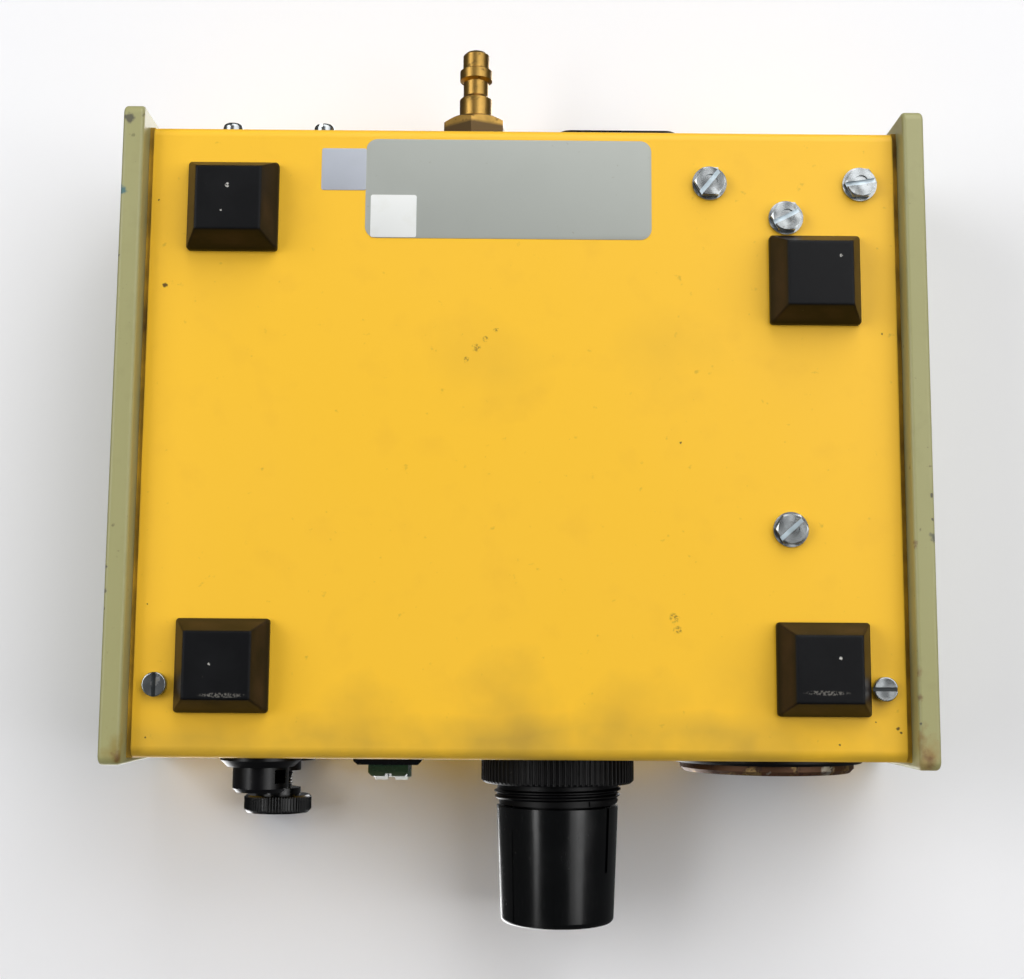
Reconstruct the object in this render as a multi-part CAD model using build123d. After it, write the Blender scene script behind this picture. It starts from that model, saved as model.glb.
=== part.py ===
from build123d import *
from math import atan, cos, degrees, pi, radians, sin, sqrt
import os

# A benchtop fluid dispenser that runs on compressed air.
# Sizes are millimetres. +Z is up, the front panel faces -Y, and +X is to the right of someone who
# faces the front panel. The origin is under the middle of the whole unit, on the bench.
# Distances called out are measured from a panel's outer face, away from the unit.

# General clearances
slip = 0.05          # radial gap round a screw, a pin or a shaft in its hole
clear = 0.3          # gap between neighbours that don't touch
hole_play = 0.25     # radial gap of a panel hole round what passes through it

# Sheet metal case
shell_width = 170.0
shell_depth = 143.6
shell_height = 50.8
pan_sheet = 1.5
pan_bend = 2.5
cover_sheet = 1.2
cover_bend = 2.4
cover_gap = 0.1
tab_length = 16.0
tab_width = 11.0

# End plates
plate_thickness = 4.8
plate_below = 4.6
plate_above = 1.5
plate_front = 1.4
plate_rear = 3.45
plate_corner = 2.2
plate_edge = 0.9
plate_screw_inset_y = 16.0
plate_screw_inset_z = 11.0
plate_screw_d = 3.0
plate_screw_bite = 3.0

# Feet
foot_height = 7.6
foot_size = 20.6
foot_rim = 1.3
foot_bevel = 3.0
foot_corner = 0.8
foot_front_left_inset = (18.3, 20.2)
foot_front_right_inset = (19.5, 20.2)
foot_rear_right_inset = (18.8, 19.4)
foot_rear_left_inset = (18.6, 35.6)

# Screws that show on the base
cheese_d = 5.4
cheese_head = 1.9
cheese_shank_d = 3.0
cheese_inset_x = 4.9
cheese_inset_y = 16.0
hex_af = 6.35
hex_washer_d = 7.9
hex_washer = 0.6
hex_head = 2.3
hex_shank_d = 3.5
hex_slot = 1.0
hex_dimple_d = 3.2
hex_dimple = 0.35
hex_nut_af = 7.9
hex_nut = 2.6

# Pressure regulator
regulator_x = -9.15
ring_d = 35.8
ring_out = 6.35
ring_flutes = 84
ring_flute_depth = 0.45
bonnet_thread_d = 28.2
bonnet_thread_out = 9.2
bonnet_neck_d = 27.4
bonnet_neck_out = 11.2
bonnet_hub_d = 21.0
bonnet_hub_out = 20.0
bonnet_d = 38.0
bonnet_depth = 30.0
bonnet_wall = 4.0
knob_gap = 0.5
knob_length = 26.45
knob_base_d = 28.4
knob_tip_d = 26.2
knob_round = 1.3
knob_wall = 1.6
knob_sides = 2
knob_collar = 4.8
knob_groove_width = 1.0
knob_groove_depth = 0.5
knob_groove_length = 14.4
knob_groove_turn = -143.0
knob_field_width = 10.5
knob_field_depth = 0.25
knob_field_turn = -62.0
knob_travel = 3.0
spindle_af = 9.0
spindle_d = 7.9
spindle_collar_d = 13.0
spindle_collar = 2.0
spindle_length_in = 17.0
spindle_grip = 5.0
screw_pitch = 1.5
seat_d = 21.0
seat_thickness = 4.0
seat_travel = 3.0
spring_d = 17.0
spring_wire = 2.2
spring_turns = 4
reg_body_size = 40.0
reg_body_depth = 31.0
reg_body_corner = 4.0
diaphragm_d = 35.0
diaphragm_thickness = 1.0
diaphragm_plate_d = 20.0
diaphragm_plate_thickness = 1.6
control_cavity_d = 28.0
control_cavity_depth = 5.5
valve_seat_d = 6.0
valve_seat_depth = 4.5
valve_chamber_d = 13.0
poppet_head_d = 9.0
poppet_head = 5.0
poppet_pin_d = 2.4
poppet_travel = 1.0
poppet_spring_d = 8.0
poppet_spring_wire = 0.8
poppet_spring_turns = 6
reg_cap_d = 24.0
reg_cap = 5.0
port_depth_in_body = 17.0
port_d = 8.6
port_bore_depth = 9.0
drilling_d = 4.0
gauge_port_depth = 6.5
gauge_port_d = 5.5
gauge_port_bore = 5.0

# Pressure gauge
gauge_x = -58.3
gauge_flange_d = 45.2
gauge_flange = 1.2
gauge_bezel_d = 40.4
gauge_bezel_out = 3.4
gauge_window_d = 34.5
gauge_case_d = 38.0
gauge_case_depth = 24.0
gauge_case_wall = 1.0
gauge_lens = 1.6
gauge_dial_d = 35.0
gauge_lens_seat = 1.0
gauge_dial_depth = 3.8
gauge_dial = 0.6
gauge_stem_size = 14.0
gauge_stem = 7.0
gauge_stem_thread_d = 9.6
gauge_stem_thread = 5.0
gauge_zero_angle = 225.0
pointer_length = 12.5
pointer_tail = 5.0
pointer_sheet = 0.5
pointer_lift = 1.2
pointer_shaft_d = 1.6
bourdon_r = 12.0
bourdon_section = (4.5, 1.8)
bourdon_start = -70.0
bourdon_sweep = 250.0
movement_height = 8.4
clamp_width = 20.0
clamp_sheet = 1.5
clamp_stud_x = 13.0
clamp_stud_d = 3.0
clamp_nut_af = 5.5
clamp_nut = 2.4

# Power switch
switch_x = 30.1
switch_bezel_width = 15.6
switch_bezel_height = 21.0
switch_bezel_out = 2.1
switch_bezel_bevel = 0.9
switch_body_width = 12.8
switch_body_height = 19.0
switch_body_depth = 16.0
rocker_width = 9.2
rocker_height = 14.2
rocker_valley_out = 4.1
rocker_tip_out = 5.7
rocker_pivot_in = 2.0
rocker_half_swing = 7.5
rocker_groove = (1.6, 0.6)
rocker_play = 0.25
rocker_pin_d = 2.0
switch_room = 5.0
blade = (4.8, 0.8, 7.5)

# Air outlet and vacuum control, one above the other
outlet_x = 58.4
outlet_drop = 13.3
outlet_flange_d = 18.2
outlet_flange = 2.3
outlet_barrel_d = 12.5
outlet_out = 8.0
outlet_bore_d = 7.2
outlet_shank_d = 11.0
outlet_window = (3.4, 3.0)
outlet_window_angle = 55.0
vacuum_flange_d = 21.0
vacuum_nut_d = 10.8
vacuum_nut_out = 4.8
vacuum_nose_d = 6.4
vacuum_nose_out = 9.6
vacuum_boss_d = 10.8
vacuum_boss_out = 9.0
vacuum_disc_d = 16.2
vacuum_disc_out = 10.7
vacuum_disc = 4.2
vacuum_flutes = 72
vacuum_flute_depth = 0.3
needle_d = 3.0
needle_tip_d = 1.2
needle_cone = 3.5
needle_depth = 12.0
needle_port_d = 2.4
needle_pitch = 0.75
needle_travel = 2.25

# Valve block behind the outlet
block_width = 22.0
block_height = 45.0
block_depth = 24.0
shank_depth = 9.5
solenoid_size = 22.0
solenoid_flange = 11.0
solenoid_length = 28.0
solenoid_tube_wall = 0.8
plunger_d = 8.0
plunger_length = 18.0
plunger_travel = 1.5
plunger_spring_d = 6.6
plunger_spring_wire = 0.7
plunger_spring_turns = 5
plunger_stop = 2.0
silencer_d = 10.0
silencer_length = 11.0
ejector_d = 9.0
ejector_length = 14.0

# Air plug on the rear panel
nipple_x = 11.45
nipple_z = 25.6
nipple_hex_af = 14.3
nipple_hex = 8.05
nipple_hex_turn = 23.5
nipple_shoulder_d = 7.9
nipple_shoulder = 6.5
nipple_neck_d = 6.1
nipple_neck = 4.1
nipple_ridge_d = 7.85
nipple_ridge = 2.8
nipple_tip_d = 6.4
nipple_tip = 4.2
nipple_bore_d = 3.6
nipple_shank_d = 12.6
bulkhead_af = 17.0
bulkhead_nut_length = 5.0
bulkhead_depth = 9.0

# Air tubes and push-in fittings
tube_d = 6.0
tube_bore = 4.0
gauge_tube_d = 4.0
gauge_tube_bore = 2.5
elbow_size = 12.0
elbow_collar = 1.5
elbow_mouth_d = 10.0
elbow_mouth = 5.0
small_mouth_d = 7.5
small_mouth = 2.0
push_in = 6.0
small_push_in = 3.0
spigot_gap = 1.0
elbow_round = 1.0
gauge_elbow_size = 14.0
gauge_elbow_wall = 4.5
gauge_fitting_length = 8.0
gauge_tube_run = 60.0
supply_bend = 20.0
valve_bend = 8.0
tube_behind = 4.0
tube_step = 13.0
tube_rise = 12.0
tube_bend_gap = 4.0
supply_straight = 26.0
valve_tube_run = 17.0
valve_port_bore = 4.5
plug_fitting_length = 10.0
valve_fitting_length = 7.0
valve_fitting_d = 9.0

# Mains inlet with its fuse drawer
inlet_x = -22.2
inlet_flange_width = 29.0
inlet_flange_height = 42.0
inlet_flange = 1.6
inlet_flange_corner = 3.6
inlet_body_width = 26.6
inlet_body_height = 39.0
inlet_body_depth = 26.0
inlet_socket = (24.0, 17.0)
inlet_socket_chamfer = 4.2
inlet_socket_depth = 16.5
inlet_socket_rise = 8.6
inlet_pin = (2.0, 4.0)
inlet_pin_length = 15.0
inlet_pin_pitch = 14.0
inlet_pin_drop = 2.0
inlet_earth_rise = 2.2
drawer_width = 20.0
drawer_height = 10.0
drawer_drop = 12.6
drawer_depth = 23.0
drawer_travel = 20.0
fuse_d = 5.0
fuse_length = 20.0

# Pedal socket
socket_x = 57.15
socket_z = 23.35
socket_flange = 26.4
socket_flange_sheet = 1.2
socket_shell_d = 17.0
socket_shell_depth = 14.0
socket_face_d = 15.0
socket_contact_d = 1.6
socket_contact_ring = 5.0
socket_screw_pitch = 21.3
socket_screw_d = 2.5
socket_screw_head_d = 4.7
socket_screw_head = 2.2

# Transformer
transformer_x = -60.1
transformer_hole_pitch = 71.6
transformer_rear_hole = 20.9
core_length = 57.0
core_height = 46.0
core_stack = 24.0
core_leg = 9.5
frame_sheet = 1.0
frame_ear_end = 5.2
frame_width = 20.0
coil_length = 36.0
coil_thickness = 37.0

# Control board
board_bracket_x = (-42.7, -77.15)
board_bracket_rear = 12.85
board_bracket_sheet = 1.2
board_bracket_tab = 11.0
board_bracket_tab_front = 4.8
board_bracket_height = 40.0
board_width = 42.0
board_height = 34.0
board_thickness = 1.6
board_spacer = 4.4
board_spacer_d = 5.0
board_spacer_inset = 4.0
board_rise = 2.0
relay = (15.0, 12.0, 11.0)
relay_round = 0.8
relay_place = (-11.0, 6.0)
terminal_block = (25.0, 8.0, 9.0)
terminal_place = (6.0, -11.0)
terminal_pitch = 5.0
terminal_hole_d = 3.0
terminal_hole_depth = 3.0
capacitor = (8.0, 12.0)
capacitor_xs = (3.0, 13.0)
capacitor_y = 6.0
chip_size = (9.0, 6.5, 3.5)
chip_place = (-12.0, -9.0)
board_bracket_inset = 3.3

# Places worked out from the sizes above
knob_out = bonnet_neck_out + knob_gap + knob_length
nipple_out = nipple_hex + nipple_shoulder + nipple_neck + nipple_ridge + nipple_tip
front_y = (knob_out - shell_depth - nipple_out) / 2
rear_y = front_y + shell_depth
mid_y = (front_y + rear_y) / 2
base_z = foot_height
top_z = base_z + shell_height
mid_z = base_z + shell_height / 2
floor_z = base_z + pan_sheet
side_x = shell_width / 2
cover_in_x = side_x + cover_gap
cover_out_x = cover_in_x + cover_sheet
inner_front_y = front_y + pan_sheet
inner_rear_y = rear_y - pan_sheet

parts = {}


# Local frames: on a front or rear frame, local +Z points out of the unit and local +Y is up
def at_front(x, z):
    return Plane(origin=(x, front_y, z), x_dir=(1, 0, 0), z_dir=(0, -1, 0)).location


def at_rear(x, z):
    return Plane(origin=(x, rear_y, z), x_dir=(-1, 0, 0), z_dir=(0, 1, 0)).location


def under_base(x, y):
    return Plane(origin=(x, y, base_z), x_dir=(1, 0, 0), z_dir=(0, 0, -1)).location


def turned(*outline):
    """A turned piece from (radius, height) pairs round the local Z axis."""
    face = make_face(Polyline(*[(r, 0, h) for r, h in outline], close=True))
    return revolve(face, Axis.Z)


def rod(diameter, low, high):
    """A round bar on the local Z axis between two heights."""
    return Pos(0, 0, low) * Cylinder(diameter / 2, high - low, align=(Align.CENTER, Align.CENTER, Align.MIN))


def block(width, height, low, high):
    """A rectangular bar centred on the local Z axis between two heights."""
    return Pos(0, 0, low) * Box(width, height, high - low, align=(Align.CENTER, Align.CENTER, Align.MIN))


def hexagon(across_flats, low, high, turn=0.0):
    """A hexagonal bar on the local Z axis between two heights."""
    outline = Rot(0, 0, turn) * RegularPolygon(across_flats / 2, 6, major_radius=False)
    return Pos(0, 0, low) * extrude(outline, high - low)


def rounded_block(width, height, corner, low, high):
    """A bar with rounded corners between two heights."""
    return Pos(0, 0, low) * extrude(RectangleRounded(width, height, corner), high - low)


def tube_along(points, radii, diameter, bore):
    """A tube along straight runs joined by arcs."""
    path = FilletPolyline(*points, radius=radii)
    start = Plane(origin=path @ 0, z_dir=path % 0)
    solid = sweep(start * Circle(diameter / 2), path)
    return solid - sweep(start * Circle(bore / 2), path)


def along(direction, x=0.0, y=0.0, z=0.0):
    """A frame at a point whose local +Z runs along a row axis."""
    return Plane(origin=(x, y, z), z_dir=direction).location


def group(*solids):
    return Compound(list(solids))


# Feet: square rubber bumpers with a straight rim and bevelled sides
feet_places = [
    (-side_x + foot_front_left_inset[0], front_y + foot_front_left_inset[1]),
    (side_x - foot_front_right_inset[0], front_y + foot_front_right_inset[1]),
    (-side_x + foot_rear_left_inset[0], rear_y - foot_rear_left_inset[1]),
    (side_x - foot_rear_right_inset[0], rear_y - foot_rear_right_inset[1]),
]


def foot():
    bevel_angle = degrees(atan(foot_bevel / (foot_height - foot_rim)))
    outline = RectangleRounded(foot_size, foot_size, foot_corner)
    rim = extrude(outline, foot_rim)
    sides = Pos(0, 0, foot_rim) * extrude(outline, foot_height - foot_rim, taper=bevel_angle)
    return rim + sides


parts["feet"] = group(*[under_base(x, y) * foot() for x, y in feet_places])

# Base pan: the bottom, front and rear panels are one sheet, bent up along two edges
pan_wall = shell_height - cover_sheet


def pan_blank():
    outside = Rectangle(shell_depth, pan_wall, align=(Align.CENTER, Align.MIN))
    outside = fillet(outside.vertices().group_by(Axis.Y)[0], pan_bend)
    inside = Rectangle(shell_depth - 2 * pan_sheet, pan_wall, align=(Align.CENTER, Align.MIN))
    inside = fillet(inside.vertices().group_by(Axis.Y)[0], pan_bend - pan_sheet)
    profile = outside - Pos(0, pan_sheet) * inside
    pan = extrude(Plane.YZ * profile, side_x, both=True)
    top_corners = pan.edges().filter_by(Axis.Y).group_by(Axis.Z)[-1]
    return Pos(0, mid_y, base_z) * chamfer(top_corners, cover_bend - cover_sheet + 0.2)


bracket_screw_places = [
    (transformer_x, rear_y - transformer_rear_hole),
    (transformer_x, rear_y - transformer_rear_hole - transformer_hole_pitch),
    (board_bracket_x[0], rear_y - board_bracket_rear),
    (board_bracket_x[1], rear_y - board_bracket_rear),
]
cheese_places = [(side * (side_x - cheese_inset_x), front_y + cheese_inset_y) for side in (-1, 1)]
socket_screw_places = [(sx * socket_screw_pitch / 2, sz * socket_screw_pitch / 2)
                       for sx in (-1, 1) for sz in (-1, 1)]
through = 2 * pan_bend    # long enough to cut through a panel
outlet_z = mid_z - outlet_drop
vacuum_z = mid_z + outlet_drop

panel_holes = [
    at_front(gauge_x, mid_z) * rod(gauge_case_d + 2 * hole_play, -through, through),
    at_front(regulator_x, mid_z) * rod(bonnet_thread_d + 2 * hole_play, -through, through),
    at_front(switch_x, mid_z) * block(switch_body_width + 2 * hole_play, switch_body_height + 2 * hole_play,
                                      -through, through),
    at_front(outlet_x, outlet_z) * rod(outlet_shank_d + 2 * hole_play, -through, through),
    at_front(outlet_x, vacuum_z) * rod(outlet_shank_d + 2 * hole_play, -through, through),
    at_rear(nipple_x, nipple_z) * rod(nipple_shank_d + 2 * hole_play, -through, through),
    at_rear(inlet_x, mid_z) * block(inlet_body_width + 2 * hole_play, inlet_body_height + 2 * hole_play,
                                    -through, through),
    at_rear(socket_x, socket_z) * rod(socket_face_d + 2 * hole_play, -through, through),
]
panel_holes += [at_rear(socket_x - x, socket_z + z) * rod(socket_screw_d + 2 * slip, -through, through)
                for x, z in socket_screw_places]
panel_holes += [under_base(x, y) * rod(hex_shank_d + 2 * slip, -through, through) for x, y in bracket_screw_places]
panel_holes += [under_base(x, y) * rod(cheese_shank_d + 2 * slip, -through, through) for x, y in cheese_places]
parts["base_pan"] = pan_blank() - panel_holes

# Top cover: the top and both side walls are one sheet, with a tab at the foot of each wall
cover_height = top_z - floor_z
plate_screw_ys = (front_y + plate_screw_inset_y, rear_y - plate_screw_inset_y)
plate_screw_zs = (floor_z + plate_screw_inset_z, top_z - plate_screw_inset_z)
plate_screw_places = [(y, z) for y in plate_screw_ys for z in plate_screw_zs]


def side_hole(side, y, z, diameter, inner_x, outer_x):
    """A round cutter through a side wall, from inner_x to outer_x."""
    length = outer_x - inner_x
    return Pos(side * (inner_x + outer_x) / 2, y, z) * Rot(0, 90, 0) * Cylinder(diameter / 2, length)


def top_cover():
    outside = Rectangle(2 * cover_out_x, cover_height, align=(Align.CENTER, Align.MAX))
    outside = fillet(outside.vertices().group_by(Axis.Y)[-1], cover_bend)
    inside = Rectangle(2 * cover_in_x, cover_height, align=(Align.CENTER, Align.MAX))
    inside = fillet(inside.vertices().group_by(Axis.Y)[-1], cover_bend - cover_sheet)
    profile = outside - Pos(0, -cover_sheet) * inside
    sheet = Pos(0, mid_y, top_z) * extrude(Plane.XZ * profile, shell_depth / 2, both=True)
    for side, (x, y) in zip((-1, 1), cheese_places):
        tab = Box(tab_width + cover_sheet, tab_length, cover_sheet, align=(Align.MAX, Align.CENTER, Align.MIN))
        if side < 0:
            tab = mirror(tab, Plane.YZ)
        sheet += Pos(side * cover_out_x, y, floor_z) * tab
        sheet -= under_base(x, y) * rod(cheese_shank_d + 2 * slip, -through, 0)
        for hole_y, hole_z in plate_screw_places:
            sheet -= side_hole(side, hole_y, hole_z, plate_screw_d + 2 * slip, side_x - 1, cover_out_x + 1)
    return sheet


parts["top_cover"] = top_cover()

# End plates: thick painted plates, screwed on from inside through the cover's side walls
plate_depth = shell_depth + plate_front + plate_rear
plate_height = shell_height + plate_below + plate_above
plate_mid_y = (front_y - plate_front + rear_y + plate_rear) / 2
plate_mid_z = (base_z - plate_below + top_z + plate_above) / 2


def end_plate(side):
    outline = RectangleRounded(plate_depth, plate_height, plate_corner)
    plate = extrude(Plane.YZ * outline, plate_thickness)
    plate = fillet(plate.edges().group_by(Axis.X)[-1] + plate.edges().group_by(Axis.X)[0], plate_edge)
    plate = Pos(cover_out_x, plate_mid_y, plate_mid_z) * plate
    for y, z in plate_screw_places:
        plate -= side_hole(1, y, z, plate_screw_d + 2 * slip, cover_out_x - 1, cover_out_x + plate_screw_bite)
    return plate if side > 0 else mirror(plate, Plane.YZ)


parts["end_plate_right"] = end_plate(1)
parts["end_plate_left"] = end_plate(-1)


def pan_head_screw(diameter, length, head_d, head):
    """A pan-head screw: the head stands on local +Z, the shank goes down local -Z."""
    crown = rod(head_d, 0, head)
    crown = fillet(crown.edges().group_by(Axis.Z)[-1], head * 0.45)
    slot = Pos(0, 0, head) * Box(head_d + 1, head_d * 0.18, head)
    return crown + rod(diameter, -length, 0) - slot


def plate_screws():
    screws = []
    for side in (-1, 1):
        for y, z in plate_screw_places:
            screw = pan_head_screw(plate_screw_d, cover_sheet + plate_screw_bite - clear, plate_screw_d * 1.9, 1.8)
            screws.append(Pos(side * cover_in_x, y, z) * Rot(0, -90 * side, 0) * screw)
    return group(*screws)


parts["plate_screws"] = plate_screws()


# Screws and nuts of the base: slotted cheese heads at the front corners, and slotted hex washer
# heads with nuts inside for the transformer and the board's bracket
def cheese_screw(slot_turn):
    head = fillet(rod(cheese_d, 0, cheese_head).edges().group_by(Axis.Z)[-1], 0.3)
    slot = Rot(0, 0, slot_turn) * Pos(0, 0, cheese_head) * Box(cheese_d + 1, 0.9, 1.6)
    return head - slot + rod(cheese_shank_d, -pan_sheet - cover_sheet, 0)


parts["cover_screws"] = group(*[under_base(x, y) * cheese_screw(turn)
                                for (x, y), turn in zip(cheese_places, (0, 90))])

hex_grip = pan_sheet + frame_sheet + hex_nut


def hex_screw(slot_turn):
    head = rod(hex_washer_d, 0, hex_washer) + hexagon(hex_af, hex_washer, hex_head)
    crown = turned((0, 0), (hex_washer_d, 0), (hex_af * 0.5, hex_head), (0, hex_head))
    slot = Rot(0, 0, slot_turn) * Pos(0, 0, hex_head) * Box(hex_af * 1.3, hex_slot, 1.8)
    dimple = rod(hex_dimple_d, hex_head - hex_dimple, hex_head + 1)
    return (head & crown) - slot - dimple + rod(hex_shank_d, -hex_grip - 1.0, 0)


hex_slot_turns = (27, 42, 51, 9)
parts["bracket_screws"] = group(*[under_base(x, y) * hex_screw(turn)
                                  for (x, y), turn in zip(bracket_screw_places, hex_slot_turns)])
nut_seats = (pan_sheet + frame_sheet, pan_sheet + frame_sheet,
             pan_sheet + board_bracket_sheet, pan_sheet + board_bracket_sheet)
parts["bracket_nuts"] = group(*[
    under_base(x, y) * (hexagon(hex_nut_af, -seat - hex_nut, -seat) - rod(hex_shank_d + 2 * slip, -20, 0))
    for (x, y), seat in zip(bracket_screw_places, nut_seats)])

# Pressure regulator, along its own axis: heights are positive outside the panel's face
reg_frame = at_front(regulator_x, mid_z)
reg_face = -pan_sheet - bonnet_depth
reg_back = reg_face - reg_body_depth
bonnet_bore_d = seat_d + 2 * clear


def fluted(diameter, low, high, count, depth):
    """A round grip with round-bottomed flutes along its side."""
    pitch = pi * diameter / count
    cutter_r = pitch * 0.36
    cutter = Pos(diameter / 2 + cutter_r - depth, 0, low - 1) * Cylinder(
        cutter_r, high - low + 2, align=(Align.CENTER, Align.CENTER, Align.MIN))
    cutters = [Rot(0, 0, 360 * i / count) * cutter for i in range(count)]
    return rod(diameter, low, high) - cutters


def ring_nut():
    ring = fluted(ring_d, 0, ring_out, ring_flutes, ring_flute_depth)
    edge = turned((0, 0), (ring_d / 2, 0), (ring_d / 2, ring_out - 0.6), (ring_d / 2 - 0.6, ring_out), (0, ring_out))
    return (ring & edge) - rod(bonnet_thread_d + 2 * slip, -1, ring_out + 1)


def bonnet():
    thread_r, neck_r, hub_r = bonnet_thread_d / 2, bonnet_neck_d / 2, bonnet_hub_d / 2
    body = turned((0, reg_face), (bonnet_d / 2, reg_face), (bonnet_d / 2, -pan_sheet), (thread_r, -pan_sheet),
                  (thread_r, bonnet_thread_out), (neck_r, bonnet_thread_out), (neck_r, bonnet_neck_out),
                  (hub_r, bonnet_neck_out), (hub_r, bonnet_hub_out), (0, bonnet_hub_out))
    body -= rod(bonnet_bore_d, reg_face - 1, -pan_sheet - bonnet_wall)
    key = Pos(bonnet_bore_d / 2 + 1.5, 0, reg_face - 1) * Box(5, 4.2, bonnet_depth, align=(
        Align.CENTER, Align.CENTER, Align.MIN))
    hex_room = rod(spindle_af / cos(radians(30)) + 2 * clear, -pan_sheet - bonnet_wall - 1, bonnet_hub_out + 1)
    return body - key - hex_room


spindle_top = bonnet_hub_out + knob_travel + spindle_grip
collar_top = -pan_sheet - bonnet_wall
collar_low = collar_top - spindle_collar
spindle_low = collar_low - spindle_length_in + spindle_collar


def spindle():
    hub = hexagon(spindle_af, collar_top - 2 * slip, spindle_top)
    return hub + rod(spindle_collar_d, collar_low, collar_top - slip) + rod(spindle_d, spindle_low, collar_low)


seat_top = collar_low - clear - seat_travel
seat_low = seat_top - seat_thickness


def spring_seat():
    disc = rod(seat_d, seat_low, seat_top) - rod(spindle_d + 2 * slip, seat_low - 1, seat_top + 1)
    tongue = Pos(seat_d / 2 + 0.7, 0, seat_low) * Box(3, 4.2 - 2 * clear, seat_thickness, align=(
        Align.CENTER, Align.CENTER, Align.MIN))
    lip = rod(spring_d - 2 * spring_wire - 2 * clear, seat_low - 1.2, seat_low)
    lip -= rod(spindle_d + 2 * slip, seat_low - 2, seat_low + 1)
    return disc + tongue + lip


plate_top = reg_face + diaphragm_plate_thickness


def coil_spring(outer_d, wire, turns, low, high):
    """A compression spring between two heights, as a swept helix."""
    rise = high - low - wire
    helix = Helix(pitch=rise / turns, height=rise, radius=(outer_d - wire) / 2)
    start = Plane(origin=helix @ 0, z_dir=helix % 0)
    return Pos(0, 0, low + wire / 2) * sweep(start * Circle(wire / 2), helix)


def diaphragm():
    disc = rod(diaphragm_d, reg_face - diaphragm_thickness, reg_face)
    groove_r = control_cavity_d / 2 - 1.5
    groove = turned((groove_r - 0.6, reg_face - 0.5), (groove_r + 0.6, reg_face - 0.5),
                    (groove_r + 0.9, reg_face + 0.5), (groove_r - 0.9, reg_face + 0.5))
    return disc - groove


def reg_body():
    body = rounded_block(reg_body_size, reg_body_size, reg_body_corner, reg_back, reg_face)
    body = chamfer(body.edges().group_by(Axis.Z)[0], 1.0)
    body -= rod(diaphragm_d + 2 * slip, reg_face - diaphragm_thickness, reg_face + 1)
    cavity_floor = reg_face - diaphragm_thickness - control_cavity_depth
    body -= rod(control_cavity_d, cavity_floor, reg_face)
    body -= rod(valve_seat_d, cavity_floor - valve_seat_depth - 1, cavity_floor + 1)
    body -= rod(valve_chamber_d, reg_back - 1, cavity_floor - valve_seat_depth)
    port_z = reg_face - port_depth_in_body
    half = reg_body_size / 2
    for side in (-1, 1):
        port = Cylinder(port_d / 2, port_bore_depth, align=(Align.CENTER, Align.CENTER, Align.MAX))
        body -= Pos(side * half, 0, port_z) * Rot(0, 90 * side, 0) * port
    gauge_port = along((-1, 0, 0), -half + gauge_port_bore, 0, reg_face - gauge_port_depth)
    body -= gauge_port * rod(gauge_port_d, 0, gauge_port_bore + 1)
    body -= gauge_port * rod(gauge_tube_bore, -gauge_port_bore, 1)
    body -= Pos(half / 2, 0, port_z) * Rot(0, 90, 0) * Cylinder(drilling_d / 2, half)
    body -= Pos(-half + port_bore_depth - drilling_d / 2, 0, port_z) * rod(drilling_d, 0, cavity_floor - port_z + 1)
    return body


poppet_top = reg_face - diaphragm_thickness - control_cavity_depth - valve_seat_depth - 0.1


def poppet():
    head = rod(poppet_head_d, poppet_top - poppet_head, poppet_top)
    pin = rod(poppet_pin_d, poppet_top, reg_face - diaphragm_thickness - clear)
    tail = rod(poppet_pin_d, poppet_top - poppet_head - 4.0, poppet_top - poppet_head)
    return head + pin + tail


cap_plug = 3.0
poppet_guide = poppet_top - poppet_head - poppet_travel - clear


def end_cap():
    cap = rod(reg_cap_d, reg_back - reg_cap, reg_back)
    cap = fillet(cap.edges().group_by(Axis.Z)[0], 1.2)
    plug = rod(valve_chamber_d - 2 * slip, reg_back, reg_back + cap_plug)
    sleeve = rod(poppet_pin_d + 3.0, reg_back + cap_plug, poppet_guide)
    guide = rod(poppet_pin_d + 2 * slip, reg_back + cap_plug - 1.0, poppet_guide + 1)
    slots = [Rot(0, 0, 60 * i) * Pos(reg_cap_d / 2, 0, reg_back - reg_cap) * Box(2, 1.6, 4) for i in range(6)]
    return cap + plug + sleeve - guide - slots


def regulator_knob():
    low = bonnet_neck_out + knob_gap
    high = low + knob_length
    base_r, tip_r = knob_base_d / 2, knob_tip_d / 2
    shell = turned((0, low), (base_r, low), (tip_r, high), (0, high))
    shell = fillet(shell.edges().group_by(Axis.Z)[-1], knob_round)
    room_top = bonnet_hub_out + knob_gap + clear
    room = turned((0, low - 1), (base_r - knob_wall, low - 1), (base_r - knob_wall, room_top), (0, room_top))
    shell -= room
    shell -= hexagon(spindle_af + 2 * slip, low, spindle_top + clear)

    def sunk(turn, width, start, end, depth):
        """A field sunk into the tapered side, equally deep all along."""
        core = turned((0, low - 1), (base_r - depth, low - 1), (base_r - depth, low), (tip_r - depth, high), (0, high))
        field = Rot(0, 0, turn) * Pos(base_r, 0, start) * Box(8, width, end - start,
                                                              align=(Align.CENTER, Align.CENTER, Align.MIN))
        return field - core

    collar_end = low + knob_collar
    for side in range(knob_sides):
        turn = 360 / knob_sides * side
        shell -= sunk(turn + knob_groove_turn, knob_groove_width, low, low + knob_groove_length, knob_groove_depth)
        shell -= sunk(turn + knob_field_turn, knob_field_width, collar_end, high, knob_field_depth)
    return shell


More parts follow.
